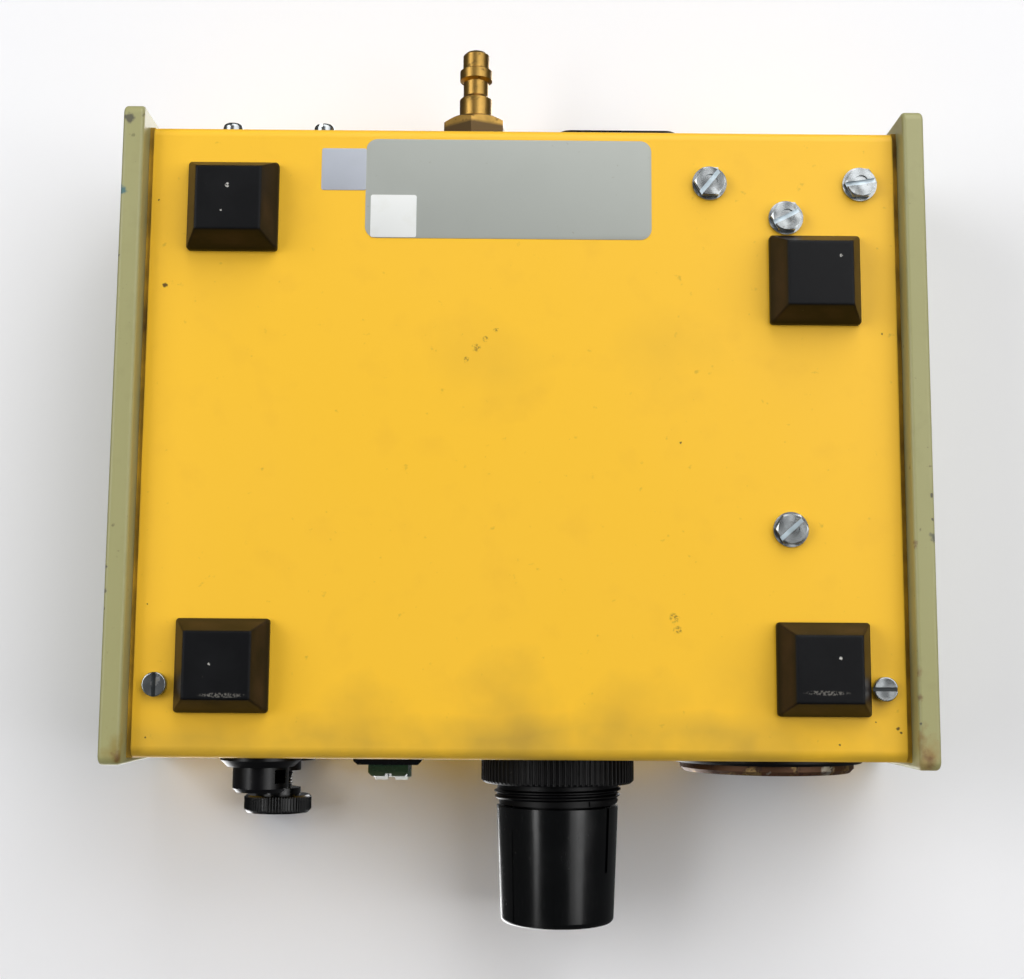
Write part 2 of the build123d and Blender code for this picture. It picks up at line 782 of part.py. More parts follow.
parts["regulator_ring_nut"] = reg_frame * ring_nut()
parts["regulator_bonnet"] = reg_frame * bonnet()
parts["regulator_spindle"] = reg_frame * spindle()
parts["regulator_spring_seat"] = reg_frame * spring_seat()
parts["regulator_spring"] = reg_frame * coil_spring(spring_d, spring_wire, spring_turns, plate_top, seat_low)
parts["diaphragm_plate"] = reg_frame * rod(diaphragm_plate_d, reg_face, plate_top)
parts["regulator_diaphragm"] = reg_frame * diaphragm()
parts["regulator_body"] = reg_frame * reg_body()
parts["regulator_poppet"] = reg_frame * poppet()
parts["regulator_poppet_spring"] = reg_frame * coil_spring(
    poppet_spring_d, poppet_spring_wire, poppet_spring_turns, reg_back + cap_plug, poppet_top - poppet_head)
parts["regulator_end_cap"] = reg_frame * end_cap()
parts["regulator_knob"] = reg_frame * regulator_knob()

# Pressure gauge: flange, plated bezel, glass, dial, pointer, tube and movement in a round case
gauge_frame = at_front(gauge_x, mid_z)
case_r = gauge_case_d / 2
case_back = gauge_flange - gauge_case_depth
case_floor = case_back + gauge_case_wall
lens_top = gauge_bezel_out - gauge_lens_seat
lens_low = lens_top - gauge_lens
dial_top = lens_low - gauge_dial_depth
movement_high = dial_top - gauge_dial
movement_low = movement_high - movement_height
bourdon_z = (movement_high + movement_low) / 2


def gauge_flange_ring():
    bore, outer = case_r + hole_play, gauge_flange_d / 2
    return turned((bore, 0), (outer, 0), (outer, gauge_flange * 0.5), (outer - 0.6, gauge_flange),
                  (bore, gauge_flange))


def gauge_bezel():
    bore, outer, window = case_r + slip, gauge_bezel_d / 2, gauge_window_d / 2
    return turned((bore, gauge_flange), (outer, gauge_flange), (outer, gauge_bezel_out - 0.9),
                  (outer - 0.9, gauge_bezel_out), (window + 0.7, gauge_bezel_out), (window, lens_top),
                  (bore, lens_top))


def gauge_case():
    inner = case_r - gauge_case_wall
    bore = gauge_stem_thread_d / 2 + slip
    cup = turned((bore, case_back), (case_r - 1.2, case_back), (case_r, case_back + 1.2), (case_r, lens_low),
                 (inner, lens_low), (inner, case_floor), (bore, case_floor))
    return cup + [Pos(x, 0, 0) * rod(clamp_stud_d, case_back - clamp_sheet - clamp_nut - 2.0, case_back)
                  for x in (-clamp_stud_x, clamp_stud_x)]


def gauge_pointer():
    """The needle lies over the dial and points to the start of its scale."""
    low = dial_top + pointer_lift
    outline = Polygon((-pointer_tail, -0.9), (-pointer_tail, 0.9), (0, 0.7), (pointer_length, 0.15),
                      (pointer_length, -0.15), (0, -0.7), align=None)
    needle = Pos(0, 0, low) * extrude(outline, pointer_sheet)
    hub = rod(3.6, low - 0.4, low + pointer_sheet + 0.5)
    shaft = rod(pointer_shaft_d, movement_low, low)
    return Rot(0, 0, gauge_zero_angle) * (needle + hub) + shaft


def bourdon_tube():
    """The flattened pressure tube curls round the movement from a post on the stem."""
    arc = CenterArc((0, 0, bourdon_z), bourdon_r, bourdon_start, bourdon_sweep)
    start = Plane(origin=arc @ 0, x_dir=(0, 0, 1), z_dir=arc % 0)
    return sweep(start * Ellipse(bourdon_section[0] / 2, bourdon_section[1] / 2), arc)


def gauge_movement():
    """Two plates on pillars carry the pointer's shaft and the dial."""
    frame = block(14, 9, movement_low, movement_low + 1.0) + block(14, 9, movement_high - 1.0, movement_high)
    frame += [Pos(x, 0, 0) * rod(2.0, movement_low, movement_high) for x in (-5.5, 5.5)]
    return frame - rod(pointer_shaft_d + 2 * slip, movement_low - 1, movement_high + 1)


def gauge_stem_block():
    """The stem passes the case's back with the tube soldered on, and takes the air line outside."""
    post_width, post_depth = 6.0, 5.0
    post_top = bourdon_z + bourdon_section[0] / 2 + 0.5
    post = Pos(bourdon_r, -post_depth / 2, 0) * block(post_width, post_depth, case_floor, post_top)
    web = Pos(bourdon_r / 2, -post_depth / 2, 0) * block(bourdon_r, post_depth, case_floor, case_floor + 3.0)
    head = rod(12.0, case_floor, movement_low)
    neck = rod(gauge_stem_thread_d, case_back, case_floor)
    square = block(gauge_stem_size, gauge_stem_size, case_back - gauge_stem, case_back)
    thread_low = case_back - gauge_stem - gauge_stem_thread
    thread = rod(gauge_stem_thread_d, thread_low, case_back - gauge_stem)
    stem = Rot(0, 0, bourdon_start) * (post + web) + head + neck + square + thread
    return stem - rod(3.0, thread_low - 1, case_floor + 1) + bourdon_tube()


def gauge_clamp():
    """A U-shaped strap round the case, from its back to the panel's inner face, with its nuts."""
    reach = case_r + clear
    outside = case_back - clamp_sheet
    strap = block(2 * (reach + clamp_sheet), clamp_width, outside, -pan_sheet)
    strap -= block(2 * reach, clamp_width + 2, case_back, 0)
    strap += [Pos(x, 0, 0) * hexagon(clamp_nut_af, outside - clamp_nut, outside)
              for x in (-clamp_stud_x, clamp_stud_x)]
    strap -= block(gauge_stem_size + 2 * clear, gauge_stem_size + 2 * clear, outside - 1, case_back + 1)
    return strap - [Pos(x, 0, 0) * rod(clamp_stud_d + 2 * slip, outside - 5, case_back + 1)
                    for x in (-clamp_stud_x, clamp_stud_x)]


dial_hole_d = pointer_shaft_d + 2 * clear
parts["gauge_flange"] = gauge_frame * gauge_flange_ring()
parts["gauge_bezel"] = gauge_frame * gauge_bezel()
parts["gauge_lens"] = gauge_frame * rod(gauge_case_d - 2 * slip, lens_low, lens_top)
parts["gauge_case"] = gauge_frame * gauge_case()
parts["gauge_dial"] = gauge_frame * (rod(gauge_dial_d, movement_high, dial_top)
                                     - rod(dial_hole_d, movement_high - 1, dial_top + 1))
parts["gauge_pointer"] = gauge_frame * gauge_pointer()
parts["gauge_movement"] = gauge_frame * gauge_movement()
parts["gauge_stem"] = gauge_frame * gauge_stem_block()
parts["gauge_clamp"] = gauge_frame * gauge_clamp()

# Power switch: snap-in housing and a see-through rocker that turns on two pins
switch_frame = at_front(switch_x, mid_z)
rocker_end_room = 0.45


def across_x(profile, half_width):
    """Spread a profile, drawn as (height, reach out of the panel), to both sides of the middle."""
    return extrude(Plane(origin=(0, 0, 0), x_dir=(0, 1, 0), z_dir=(1, 0, 0)) * profile, half_width, both=True)


def switch_housing():
    bezel = block(switch_bezel_width, switch_bezel_height, 0, switch_bezel_out)
    bezel = chamfer(bezel.edges().group_by(Axis.Z)[-1], switch_bezel_bevel)
    body = block(switch_body_width, switch_body_height, -switch_body_depth, 0)
    room = block(rocker_width + 2 * rocker_play, rocker_height + 2 * rocker_end_room,
                 -rocker_pivot_in - switch_room, switch_bezel_out + 1)
    pin_hole = Pos(0, 0, -rocker_pivot_in) * Rot(0, 90, 0) * Cylinder(rocker_pin_d / 2 + slip, switch_body_width + 2)
    return bezel + body - room - pin_hole


def rocker_profile():
    half, tip = rocker_height / 2, rocker_height / 2 - 0.5
    return Polygon((-half, -0.6), (-tip, rocker_tip_out), (0, rocker_valley_out), (tip, rocker_tip_out), (half, -0.6),
                   (3.0, -rocker_pivot_in - 2.4), (-3.0, -rocker_pivot_in - 2.4), align=None)


def switch_rocker():
    """The rocker rests with its lower half pressed in."""
    solid = across_x(rocker_profile(), rocker_width / 2)
    rims = solid.edges().filter_by(lambda e: abs(e.center().X) > rocker_width / 2 - 0.01 and e.center().Z > 4)
    solid = chamfer(rims, 0.8)
    reach = rocker_height
    rise = (rocker_tip_out - rocker_valley_out) / (rocker_height / 2 - 0.5)
    groove_floor = rocker_valley_out - rocker_groove[1]
    groove = Polygon((-reach, groove_floor + reach * rise), (0, groove_floor), (reach, groove_floor + reach * rise),
                     align=None)
    solid -= across_x(groove, rocker_groove[0] / 2)
    pin_length = switch_body_width - 0.2
    solid += Pos(0, 0, -rocker_pivot_in) * Rot(0, 90, 0) * Cylinder(rocker_pin_d / 2, pin_length)
    return Pos(0, 0, -rocker_pivot_in) * Rot(rocker_half_swing, 0, 0) * Pos(0, 0, rocker_pivot_in) * solid


def blade_terminal(x, y, top):
    return Pos(x, y, 0) * block(blade[0], blade[1], top - blade[2], top)


parts["switch_housing"] = switch_frame * switch_housing()
parts["switch_rocker"] = switch_frame * switch_rocker()
parts["switch_terminals"] = switch_frame * group(*[blade_terminal(0, y, -switch_body_depth) for y in (-6.5, 0, 6.5)])

# Air outlet: a socket with two bayonet windows, screwed into the valve block through the panel
valve_frame = at_front(outlet_x, mid_z)
outlet_frame = at_front(outlet_x, outlet_z)
vacuum_frame = at_front(outlet_x, vacuum_z)
shank_end = -pan_sheet - shank_depth


def outlet_socket():
    flange_r, barrel_r, bore_r = outlet_flange_d / 2, outlet_barrel_d / 2, outlet_bore_d / 2
    shank_r = outlet_shank_d / 2
    socket = turned((bore_r, shank_end), (shank_r, shank_end), (shank_r, 0), (flange_r, 0), (flange_r, 0.8),
                    (flange_r - 1.6, outlet_flange), (barrel_r, outlet_flange), (barrel_r, outlet_out - 0.9),
                    (barrel_r - 0.9, outlet_out), (bore_r + 0.5, outlet_out), (bore_r, outlet_out - 0.5))
    window_low = outlet_flange + 0.6
    window = Pos(barrel_r, 0, 0) * block(2 * (barrel_r - bore_r) + 1, outlet_window[0], window_low,
                                         window_low + outlet_window[1])
    for turn in (-90 - outlet_window_angle, 90 - outlet_window_angle):
        socket -= Rot(0, 0, turn) * window
    return socket


def vacuum_bush():
    flange_r, nut_r, nose_r = vacuum_flange_d / 2, vacuum_nut_d / 2, vacuum_nose_d / 2
    shank_r, bore_r = outlet_shank_d / 2, needle_d / 2 + slip
    return turned((bore_r, shank_end), (shank_r, shank_end), (shank_r, 0), (flange_r, 0), (flange_r, 0.8),
                  (flange_r - 1.6, outlet_flange), (nut_r, outlet_flange), (nut_r, vacuum_nut_out),
                  (nose_r, vacuum_nut_out), (nose_r, vacuum_nose_out), (bore_r, vacuum_nose_out))


vacuum_front = vacuum_disc_out + vacuum_disc
nose_room = vacuum_nose_out + needle_travel + clear
cone_top = -pan_sheet - needle_depth
needle_port_z = cone_top - needle_travel - 1.3


def vacuum_needle():
    r, tip_r = needle_d / 2, needle_tip_d / 2
    return turned((0, cone_top - needle_cone), (tip_r, cone_top - needle_cone), (r, cone_top),
                  (r, vacuum_front - 1.2), (0, vacuum_front - 1.2))


def vacuum_knob():
    grip = fluted(vacuum_disc_d, vacuum_disc_out, vacuum_front, vacuum_flutes, vacuum_flute_depth)
    rim_r = vacuum_disc_d / 2
    grip &= turned((0, vacuum_disc_out), (rim_r - 0.5, vacuum_disc_out), (rim_r, vacuum_disc_out + 0.5),
                   (rim_r, vacuum_front - 0.8), (rim_r - 0.8, vacuum_front), (0, vacuum_front))
    knob = grip + rod(vacuum_boss_d, vacuum_boss_out, vacuum_disc_out)
    knob -= rod(vacuum_nose_d + 2 * clear, vacuum_boss_out - 1, nose_room)
    return knob - rod(needle_d + 2 * slip, nose_room - 1, vacuum_front - 1.2 + clear)


parts["outlet_socket"] = outlet_frame * outlet_socket()
parts["vacuum_bush"] = vacuum_frame * vacuum_bush()
parts["vacuum_needle"] = vacuum_frame * vacuum_needle()
parts["vacuum_knob"] = vacuum_frame * vacuum_knob()

# Valve block: clamped behind the panel by the outlet and the vacuum control, with the solenoid
# valve behind it, the silencer on one side and the vacuum ejector on the other
block_back = -pan_sheet - block_depth
silencer_z = -pan_sheet - block_depth / 2
ejector_y = -outlet_drop - 3.5
passage_d = 3.4


def side_rod(side, y, z, diameter, length):
    """A round bar standing on one side face of the valve block."""
    return Pos(side * block_width / 2, y, z) * Rot(0, 90 * side, 0) * rod(diameter, 0, length)


def valve_block():
    solid = block(block_width, block_height, block_back, -pan_sheet)
    solid = chamfer(solid.edges().filter_by(Axis.Z), 1.0)
    for y in (-outlet_drop, outlet_drop):
        solid -= Pos(0, y, 0) * rod(outlet_shank_d + 2 * slip, shank_end, 1)
    solid -= Pos(0, -outlet_drop, 0) * rod(passage_d, block_back + 5, shank_end + 1)
    solid -= Pos(0, outlet_drop, 0) * rod(5.0, needle_port_z, shank_end + 1)
    solid -= Pos(0, outlet_drop, 0) * rod(needle_port_d, block_back + 3, needle_port_z + 1)
    return solid


solenoid_mid = block_back - solenoid_flange / 2
tube_bore_d = plunger_d + 2 * slip
tube_outer_d = tube_bore_d + 2 * solenoid_tube_wall
solenoid_tube_low = block_back - solenoid_flange - solenoid_length


def solenoid_body():
    solid = block(solenoid_size, solenoid_size, block_back - solenoid_flange, block_back)
    solid = chamfer(solid.edges().filter_by(Axis.Z), 1.5)
    solid += rod(tube_outer_d, solenoid_tube_low, block_back - solenoid_flange)
    solid -= rod(tube_bore_d, solenoid_tube_low + plunger_stop, block_back - 2.0)
    port = Pos(-solenoid_size / 2, solenoid_size / 4, solenoid_mid) * Rot(0, 90, 0) * Cylinder(
        port_d / 2, 2 * valve_port_bore)
    return solid - port


def solenoid_coil():
    low, high = solenoid_tube_low, block_back - solenoid_flange
    yoke = block(solenoid_size, solenoid_size - 6, low, high) - block(
        solenoid_size - 3, solenoid_size, low + 1.5, high - 1.5)
    winding = rod(solenoid_size - 4, low + 1.5, high - 1.5)
    bore = rod(tube_outer_d + 2 * slip, low - 1, high + 1)
    return yoke + winding - bore


plunger_top = block_back - solenoid_flange - 1.0


def silencer():
    profile_r = silencer_d / 2
    body = turned((0, 0), (profile_r, 0), (profile_r, 3.0), (profile_r - 0.8, 3.0),
                  (profile_r - 1.2, silencer_length - 1), (profile_r - 2.2, silencer_length), (0, silencer_length))
    return Pos(block_width / 2, 0, silencer_z) * Rot(0, 90, 0) * body


parts["valve_block"] = valve_frame * valve_block()
parts["solenoid_body"] = valve_frame * solenoid_body()
parts["solenoid_coil"] = valve_frame * solenoid_coil()
parts["solenoid_plunger"] = valve_frame * rod(plunger_d, plunger_top - plunger_length, plunger_top)
parts["solenoid_spring"] = valve_frame * coil_spring(
    plunger_spring_d, plunger_spring_wire, plunger_spring_turns,
    solenoid_tube_low + plunger_stop, plunger_top - plunger_length)
parts["exhaust_silencer"] = valve_frame * silencer()
parts["vacuum_ejector"] = valve_frame * side_rod(-1, ejector_y, silencer_z, ejector_d, ejector_length)

# Air plug: a brass plug for a quick coupling, with a nut and a push-in fitting inside
nipple_frame = at_rear(nipple_x, nipple_z)
nipple_shank_end = -pan_sheet - bulkhead_depth


def air_plug():
    shoulder_end = nipple_hex + nipple_shoulder
    neck_end = shoulder_end + nipple_neck
    ridge_end = neck_end + nipple_ridge
    shoulder_r, neck_r = nipple_shoulder_d / 2, nipple_neck_d / 2
    ridge_r, tip_r = nipple_ridge_d / 2, nipple_tip_d / 2
    bore_r = nipple_bore_d / 2
    stem = turned((bore_r, nipple_shank_end), (nipple_shank_d / 2, nipple_shank_end), (nipple_shank_d / 2, 0),
                  (shoulder_r, 0), (shoulder_r, shoulder_end - 0.9), (neck_r, shoulder_end), (neck_r, neck_end - 0.6),
                  (ridge_r, neck_end), (ridge_r, ridge_end - 0.5), (tip_r, ridge_end), (tip_r, nipple_out - 0.7),
                  (tip_r - 0.7, nipple_out), (bore_r, nipple_out))
    corner_r = nipple_hex_af / sqrt(3)
    crown = turned((bore_r, 0), (corner_r, 0), (corner_r, nipple_hex - 1.1), (corner_r - 1.6, nipple_hex),
                   (bore_r, nipple_hex))
    return stem + (hexagon(nipple_hex_af, 0, nipple_hex, nipple_hex_turn) & crown)


def bulkhead_nut():
    low = -pan_sheet - bulkhead_nut_length
    return hexagon(bulkhead_af, low, -pan_sheet) - rod(nipple_shank_d + 2 * slip, low - 1, 1)


def plug_fitting():
    low = nipple_shank_end - plug_fitting_length
    body = rod(elbow_size, low, nipple_shank_end)
    body -= rod(nipple_bore_d, low - 1, nipple_shank_end + 1)
    return body - rod(tube_d + 2 * slip, low - 1, low + push_in + clear)


parts["air_plug"] = nipple_frame * air_plug()
parts["air_plug_nut"] = nipple_frame * bulkhead_nut()

# Push-in fittings and air tubes
port_y = front_y + pan_sheet + bonnet_depth + port_depth_in_body
reg_side = reg_body_size / 2
elbow_mid = reg_side + elbow_collar + elbow_size / 2
mouth_end = elbow_size / 2 + elbow_mouth
valve_port_z = mid_z + solenoid_size / 4
valve_port_y = front_y - solenoid_mid


def port_elbow(side):
    """A fitting in the regulator's side port, with its mouth to the rear."""
    x = regulator_x + side * elbow_mid
    port_floor = reg_side - port_bore_depth + spigot_gap
    spigot_length = elbow_mid - port_floor
    spigot = along((side, 0, 0), regulator_x + side * port_floor, port_y, mid_z)
    collar = along((side, 0, 0), regulator_x + side * reg_side, port_y, mid_z)
    mouth = along((0, 1, 0), x, port_y, mid_z)
    body = Pos(x, port_y, mid_z) * fillet(Box(elbow_size, elbow_size, elbow_size).edges(), elbow_round)
    body += spigot * rod(port_d - 2 * slip, 0, spigot_length)
    body += collar * rod(elbow_mouth_d, 0, elbow_collar + elbow_round)
    body += mouth * rod(elbow_mouth_d, 0, mouth_end)
    body -= mouth * rod(tube_d + 2 * slip, mouth_end - push_in - clear, mouth_end + 1)
    body -= spigot * rod(drilling_d, -1, spigot_length)
    return body - mouth * rod(drilling_d, 0, mouth_end)


gauge_port_y = front_y + pan_sheet + bonnet_depth + gauge_port_depth
gauge_port_level = front_y - gauge_port_y
gauge_elbow_half = gauge_elbow_size / 2
stem_end = case_back - gauge_stem
branch_end = gauge_elbow_half + small_mouth


def gauge_elbow():
    body = block(gauge_elbow_size, gauge_elbow_size, gauge_port_level - gauge_elbow_wall, stem_end)
    body = chamfer(body.edges().filter_by(Axis.Z), elbow_round)
    branch = Pos(0, 0, gauge_port_level) * Rot(0, 90, 0)
    body += branch * rod(small_mouth_d, 0, branch_end)
    body -= rod(gauge_stem_thread_d + 2 * slip, stem_end - gauge_stem_thread - clear, stem_end + 1)
    body -= rod(gauge_tube_bore, gauge_port_level, stem_end)
    body -= branch * rod(gauge_tube_d + 2 * slip, branch_end - small_push_in - clear, branch_end + 1)
    return body - branch * rod(gauge_tube_bore, 0, branch_end)


def straight_fitting(frame, port, port_bore, outer, length, tube, depth, bore):
    """A straight push-in fitting: a spigot in a port, and a mouth for a tube."""
    body = frame * (rod(port - 2 * slip, spigot_gap - port_bore, 0) + rod(outer, 0, length))
    body -= frame * rod(tube + 2 * slip, length - depth, length + 1)
    return body - frame * rod(bore, -port_bore, length)


right_x = regulator_x + elbow_mid
left_x = regulator_x - elbow_mid
tube_start_y = port_y + mouth_end - push_in
plug_tube_end = rear_y + nipple_shank_end - plug_fitting_length + push_in
valve_face_x = outlet_x - solenoid_size / 2
valve_tube_end = valve_face_x - valve_fitting_length + push_in - clear
gauge_fitting_x = regulator_x - reg_side
gauge_tube_from = gauge_x + branch_end - small_push_in
gauge_tube_to = gauge_fitting_x - gauge_fitting_length + small_push_in - clear
behind_y = front_y + pan_sheet + bonnet_depth + reg_body_depth + reg_cap + tube_behind
crossing_y = behind_y + tube_step
crossing_z = mid_z + tube_rise
valve_turn_x = valve_face_x - valve_tube_run
supply_points = [(right_x, tube_start_y, mid_z), (right_x, behind_y + tube_bend_gap, mid_z),
                 (nipple_x, plug_tube_end - supply_straight, nipple_z), (nipple_x, plug_tube_end, nipple_z)]
valve_points = [(left_x, tube_start_y, mid_z), (left_x, behind_y, mid_z),
                (left_x + tube_step, crossing_y, crossing_z), (valve_turn_x - tube_step, crossing_y, crossing_z),
                (valve_turn_x, behind_y, valve_port_z), (valve_turn_x, valve_port_y, valve_port_z),
                (valve_tube_end, valve_port_y, valve_port_z)]
gauge_tube = rod(gauge_tube_d, 0, gauge_tube_to - gauge_tube_from) - rod(gauge_tube_bore, -1, gauge_tube_run)
gauge_fitting = straight_fitting(along((-1, 0, 0), gauge_fitting_x, gauge_port_y, mid_z), gauge_port_d,
                                 gauge_port_bore, small_mouth_d, gauge_fitting_length, gauge_tube_d,
                                 small_push_in, gauge_tube_bore)
valve_fitting = straight_fitting(along((-1, 0, 0), valve_face_x, valve_port_y, valve_port_z), port_d,
                                 valve_port_bore, valve_fitting_d, valve_fitting_length, tube_d,
                                 push_in, drilling_d)

parts["air_fittings"] = group(port_elbow(1), port_elbow(-1), gauge_frame * gauge_elbow(), gauge_fitting,
                              valve_fitting, nipple_frame * plug_fitting())
parts["air_tubes"] = group(tube_along(supply_points, supply_bend, tube_d, tube_bore),
                           tube_along(valve_points, valve_bend, tube_d, tube_bore),
                           along((1, 0, 0), gauge_tube_from, gauge_port_y, mid_z) * gauge_tube)

# Mains inlet: a flanged housing with a three-pin socket over a fuse drawer
inlet_frame = at_rear(inlet_x, mid_z)
drawer_play = 0.1


def socket_outline():
    outline = Pos(0, inlet_socket_rise) * Rectangle(*inlet_socket)
    return chamfer(outline.vertices().group_by(Axis.Y)[-1], inlet_socket_chamfer)


def mains_inlet():
    flange = rounded_block(inlet_flange_width, inlet_flange_height, inlet_flange_corner, 0, inlet_flange)
    flange = chamfer(flange.edges().group_by(Axis.Z)[-1], 0.5)
    body = flange + block(inlet_body_width, inlet_body_height, -inlet_body_depth, 0)
    socket_low = inlet_flange - inlet_socket_depth
    body -= Pos(0, 0, socket_low) * extrude(socket_outline(), inlet_socket_depth + 1)
    room = block(drawer_width + 2 * drawer_play, drawer_height + 2 * drawer_play, -drawer_depth - clear, 10)
    return body - Pos(0, -drawer_drop, 0) * room


def inlet_pins():
    socket_low = inlet_flange - inlet_socket_depth
    low_y = inlet_socket_rise - inlet_pin_drop
    places = [(-inlet_pin_pitch / 2, low_y), (inlet_pin_pitch / 2, low_y), (0, inlet_socket_rise + inlet_earth_rise)]
    pins = [Pos(x, y, 0) * block(inlet_pin[0], inlet_pin[1], socket_low, socket_low + inlet_pin_length)
            for x, y in places]
    return group(*pins, *[blade_terminal(x, y, -inlet_body_depth) for x, y in places])


def fuse_drawer():
    tray = block(drawer_width, drawer_height, -drawer_depth, inlet_flange)
    ledge = block(drawer_width - 6, 1.6, inlet_flange, inlet_flange + 1.2)
    channel = Pos(0, drawer_height / 2 - fuse_d / 2 - 0.5, 0) * block(
        fuse_d + 2 * slip, fuse_d + 1.0 + 2 * slip, -drawer_depth + 1.5, -drawer_depth + 1.5 + fuse_length + 2 * slip)
    return tray + ledge - channel


def fuse():
    cap = 5.0
    low = -drawer_depth + 1.5 + slip
    high = low + fuse_length
    return rod(fuse_d, low, low + cap) + rod(fuse_d, high - cap, high) + rod(fuse_d - 0.6, low, high)


parts["mains_inlet"] = inlet_frame * mains_inlet()
parts["inlet_pins"] = inlet_frame * inlet_pins()
parts["fuse_drawer"] = inlet_frame * Pos(0, -drawer_drop, 0) * fuse_drawer()
parts["fuse"] = inlet_frame * Pos(0, -drawer_drop + drawer_height / 2 - fuse_d / 2 - 1.0, 0) * fuse()

# Pedal socket: a round socket on a square flange behind the rear panel, with four screws
pedal_frame = at_rear(socket_x, socket_z)


def pedal_socket():
    flange = rounded_block(socket_flange, socket_flange, 2.0, -pan_sheet - socket_flange_sheet, -pan_sheet)
    shell = rod(socket_shell_d, -pan_sheet - socket_flange_sheet - socket_shell_depth, -pan_sheet)
    face = rod(socket_face_d, -pan_sheet, 0.4)
    ring_groove = rod(socket_face_d - 1.0, -5, 1) - rod(socket_face_d - 2.8, -6, 2)
    key_notch = Pos(0, -socket_face_d / 2 + 2.4, 0) * block(3.0, 1.8, -5, 1)
    contacts = [Rot(0, 0, 45 * i) * Pos(socket_contact_ring, 0, 0) * rod(socket_contact_d, -6, 1) for i in range(5)]
    screw_holes = [Pos(x, z, 0) * rod(socket_screw_d + 2 * slip, -10, 0) for x, z in socket_screw_places]
    return flange + shell + face - ring_groove - key_notch - contacts - screw_holes


def socket_screws():
    length = pan_sheet + socket_flange_sheet + 2.0
    screw = pan_head_screw(socket_screw_d, length, socket_screw_head_d, socket_screw_head)
    return group(*[Pos(x, z, 0) * Rot(0, 0, turn) * screw
                   for (x, z), turn in zip(socket_screw_places, (20, 100, 75, 140))])


parts["pedal_socket"] = pedal_frame * pedal_socket()
parts["pedal_socket_screws"] = pedal_frame * socket_screws()

# Transformer: a laminated core with one winding, held down by a sheet frame with two ears
transformer_y = rear_y - transformer_rear_hole - transformer_hole_pitch / 2
transformer_base = Pos(transformer_x, transformer_y, floor_z)
window_height = core_height - 2 * core_leg
window_length = core_length / 2 - 2 * core_leg


def transformer_core():
    core = Box(core_stack, core_length, core_height, align=(Align.CENTER, Align.CENTER, Align.MIN))
    offset = core_leg + window_length / 2
    window = Box(core_stack + 2, window_length, window_height)
    return core - [Pos(0, side * offset, core_height / 2) * window for side in (-1, 1)]


def transformer_coil():
    height = window_height - clear
    coil = extrude(RectangleRounded(coil_thickness, coil_length, 6.0), height)
    leg = Box(core_stack + 2 * clear, 2 * core_leg + 2 * clear, height * 3)
    return Pos(0, 0, core_leg) * (coil - leg)


def transformer_frame():
    half = core_length / 2 + clear
    reach = transformer_hole_pitch / 2 + frame_ear_end
    top = core_height + frame_sheet
    hat = Rectangle(2 * (half + frame_sheet), top, align=(Align.CENTER, Align.MIN))
    hat -= Rectangle(2 * half, core_height, align=(Align.CENTER, Align.MIN))
    ears = [Pos(side * (half + frame_sheet + reach) / 2, 0) * Rectangle(
        reach - half - frame_sheet, frame_sheet, align=(Align.CENTER, Align.MIN)) for side in (-1, 1)]
    frame = extrude(Plane.YZ * (hat + ears), frame_width / 2, both=True)
    return frame - [Pos(0, side * transformer_hole_pitch / 2, 0) * Cylinder(hex_shank_d / 2 + slip, 8)
                    for side in (-1, 1)]


parts["transformer_core"] = transformer_base * transformer_core()
parts["transformer_coil"] = transformer_base * transformer_coil()
parts["transformer_frame"] = transformer_base * transformer_frame()

# Control board: it stands on spacers in front of an L-shaped bracket, with its parts soldered on
bracket_mid_x = sum(board_bracket_x) / 2
bracket_width = abs(board_bracket_x[0] - board_bracket_x[1]) + board_bracket_tab
bracket_screw_y = rear_y - board_bracket_rear
bracket_back_y = rear_y - pan_sheet - board_bracket_inset
bracket_face_y = bracket_back_y - board_bracket_sheet
board_back_y = bracket_face_y - board_spacer
board_face_y = board_back_y - board_thickness
board_mid_z = floor_z + board_bracket_height / 2 + board_rise
spacer_places = [(sx * (board_width / 2 - board_spacer_inset), sz * (board_height / 2 - board_spacer_inset))
                 for sx in (-1, 1) for sz in (-1, 1)]


def board_bracket():
    plate = Pos(bracket_mid_x, bracket_back_y, floor_z) * Box(
        bracket_width, board_bracket_sheet, board_bracket_height, align=(Align.CENTER, Align.MAX, Align.MIN))
    for x in board_bracket_x:
        front = bracket_screw_y - board_bracket_tab_front
        plate += Pos(x, front, floor_z) * Box(board_bracket_tab, bracket_back_y - front, board_bracket_sheet,
                                              align=(Align.CENTER, Align.MIN, Align.MIN))
        plate -= under_base(x, bracket_screw_y) * rod(hex_shank_d + 2 * slip, -10, 0)
    spacer = rod(board_spacer_d, -board_thickness - board_spacer, -board_thickness)
    return plate + [facing_front * Pos(x, z, 0) * spacer for x, z in spacer_places]


facing_front = Plane(origin=(bracket_mid_x, board_face_y, board_mid_z), x_dir=(1, 0, 0), z_dir=(0, -1, 0)).location


def board_components():
    relay_case = Pos(*relay_place) * rounded_block(relay[0], relay[1], relay_round, 0, relay[2])
    terminals = Pos(*terminal_place) * block(terminal_block[0], terminal_block[1], 0, terminal_block[2])
    terminals -= [Pos(terminal_place[0] + terminal_pitch * i, terminal_place[1]) * rod(
        terminal_hole_d, terminal_block[2] - terminal_hole_depth, terminal_block[2] + 1) for i in (-2, -1, 0, 1, 2)]
    capacitors = [Pos(x, capacitor_y) * rod(capacitor[0], 0, capacitor[1]) for x in capacitor_xs]
    chip = Pos(*chip_place) * block(chip_size[0], chip_size[1], 0, chip_size[2])
    return group(relay_case, terminals, *capacitors, chip)


parts["board_bracket"] = board_bracket()
parts["control_board"] = facing_front * Pos(0, 0, -board_thickness) * extrude(
    Rectangle(board_width, board_height), board_thickness)
parts["board_components"] = facing_front * board_components()

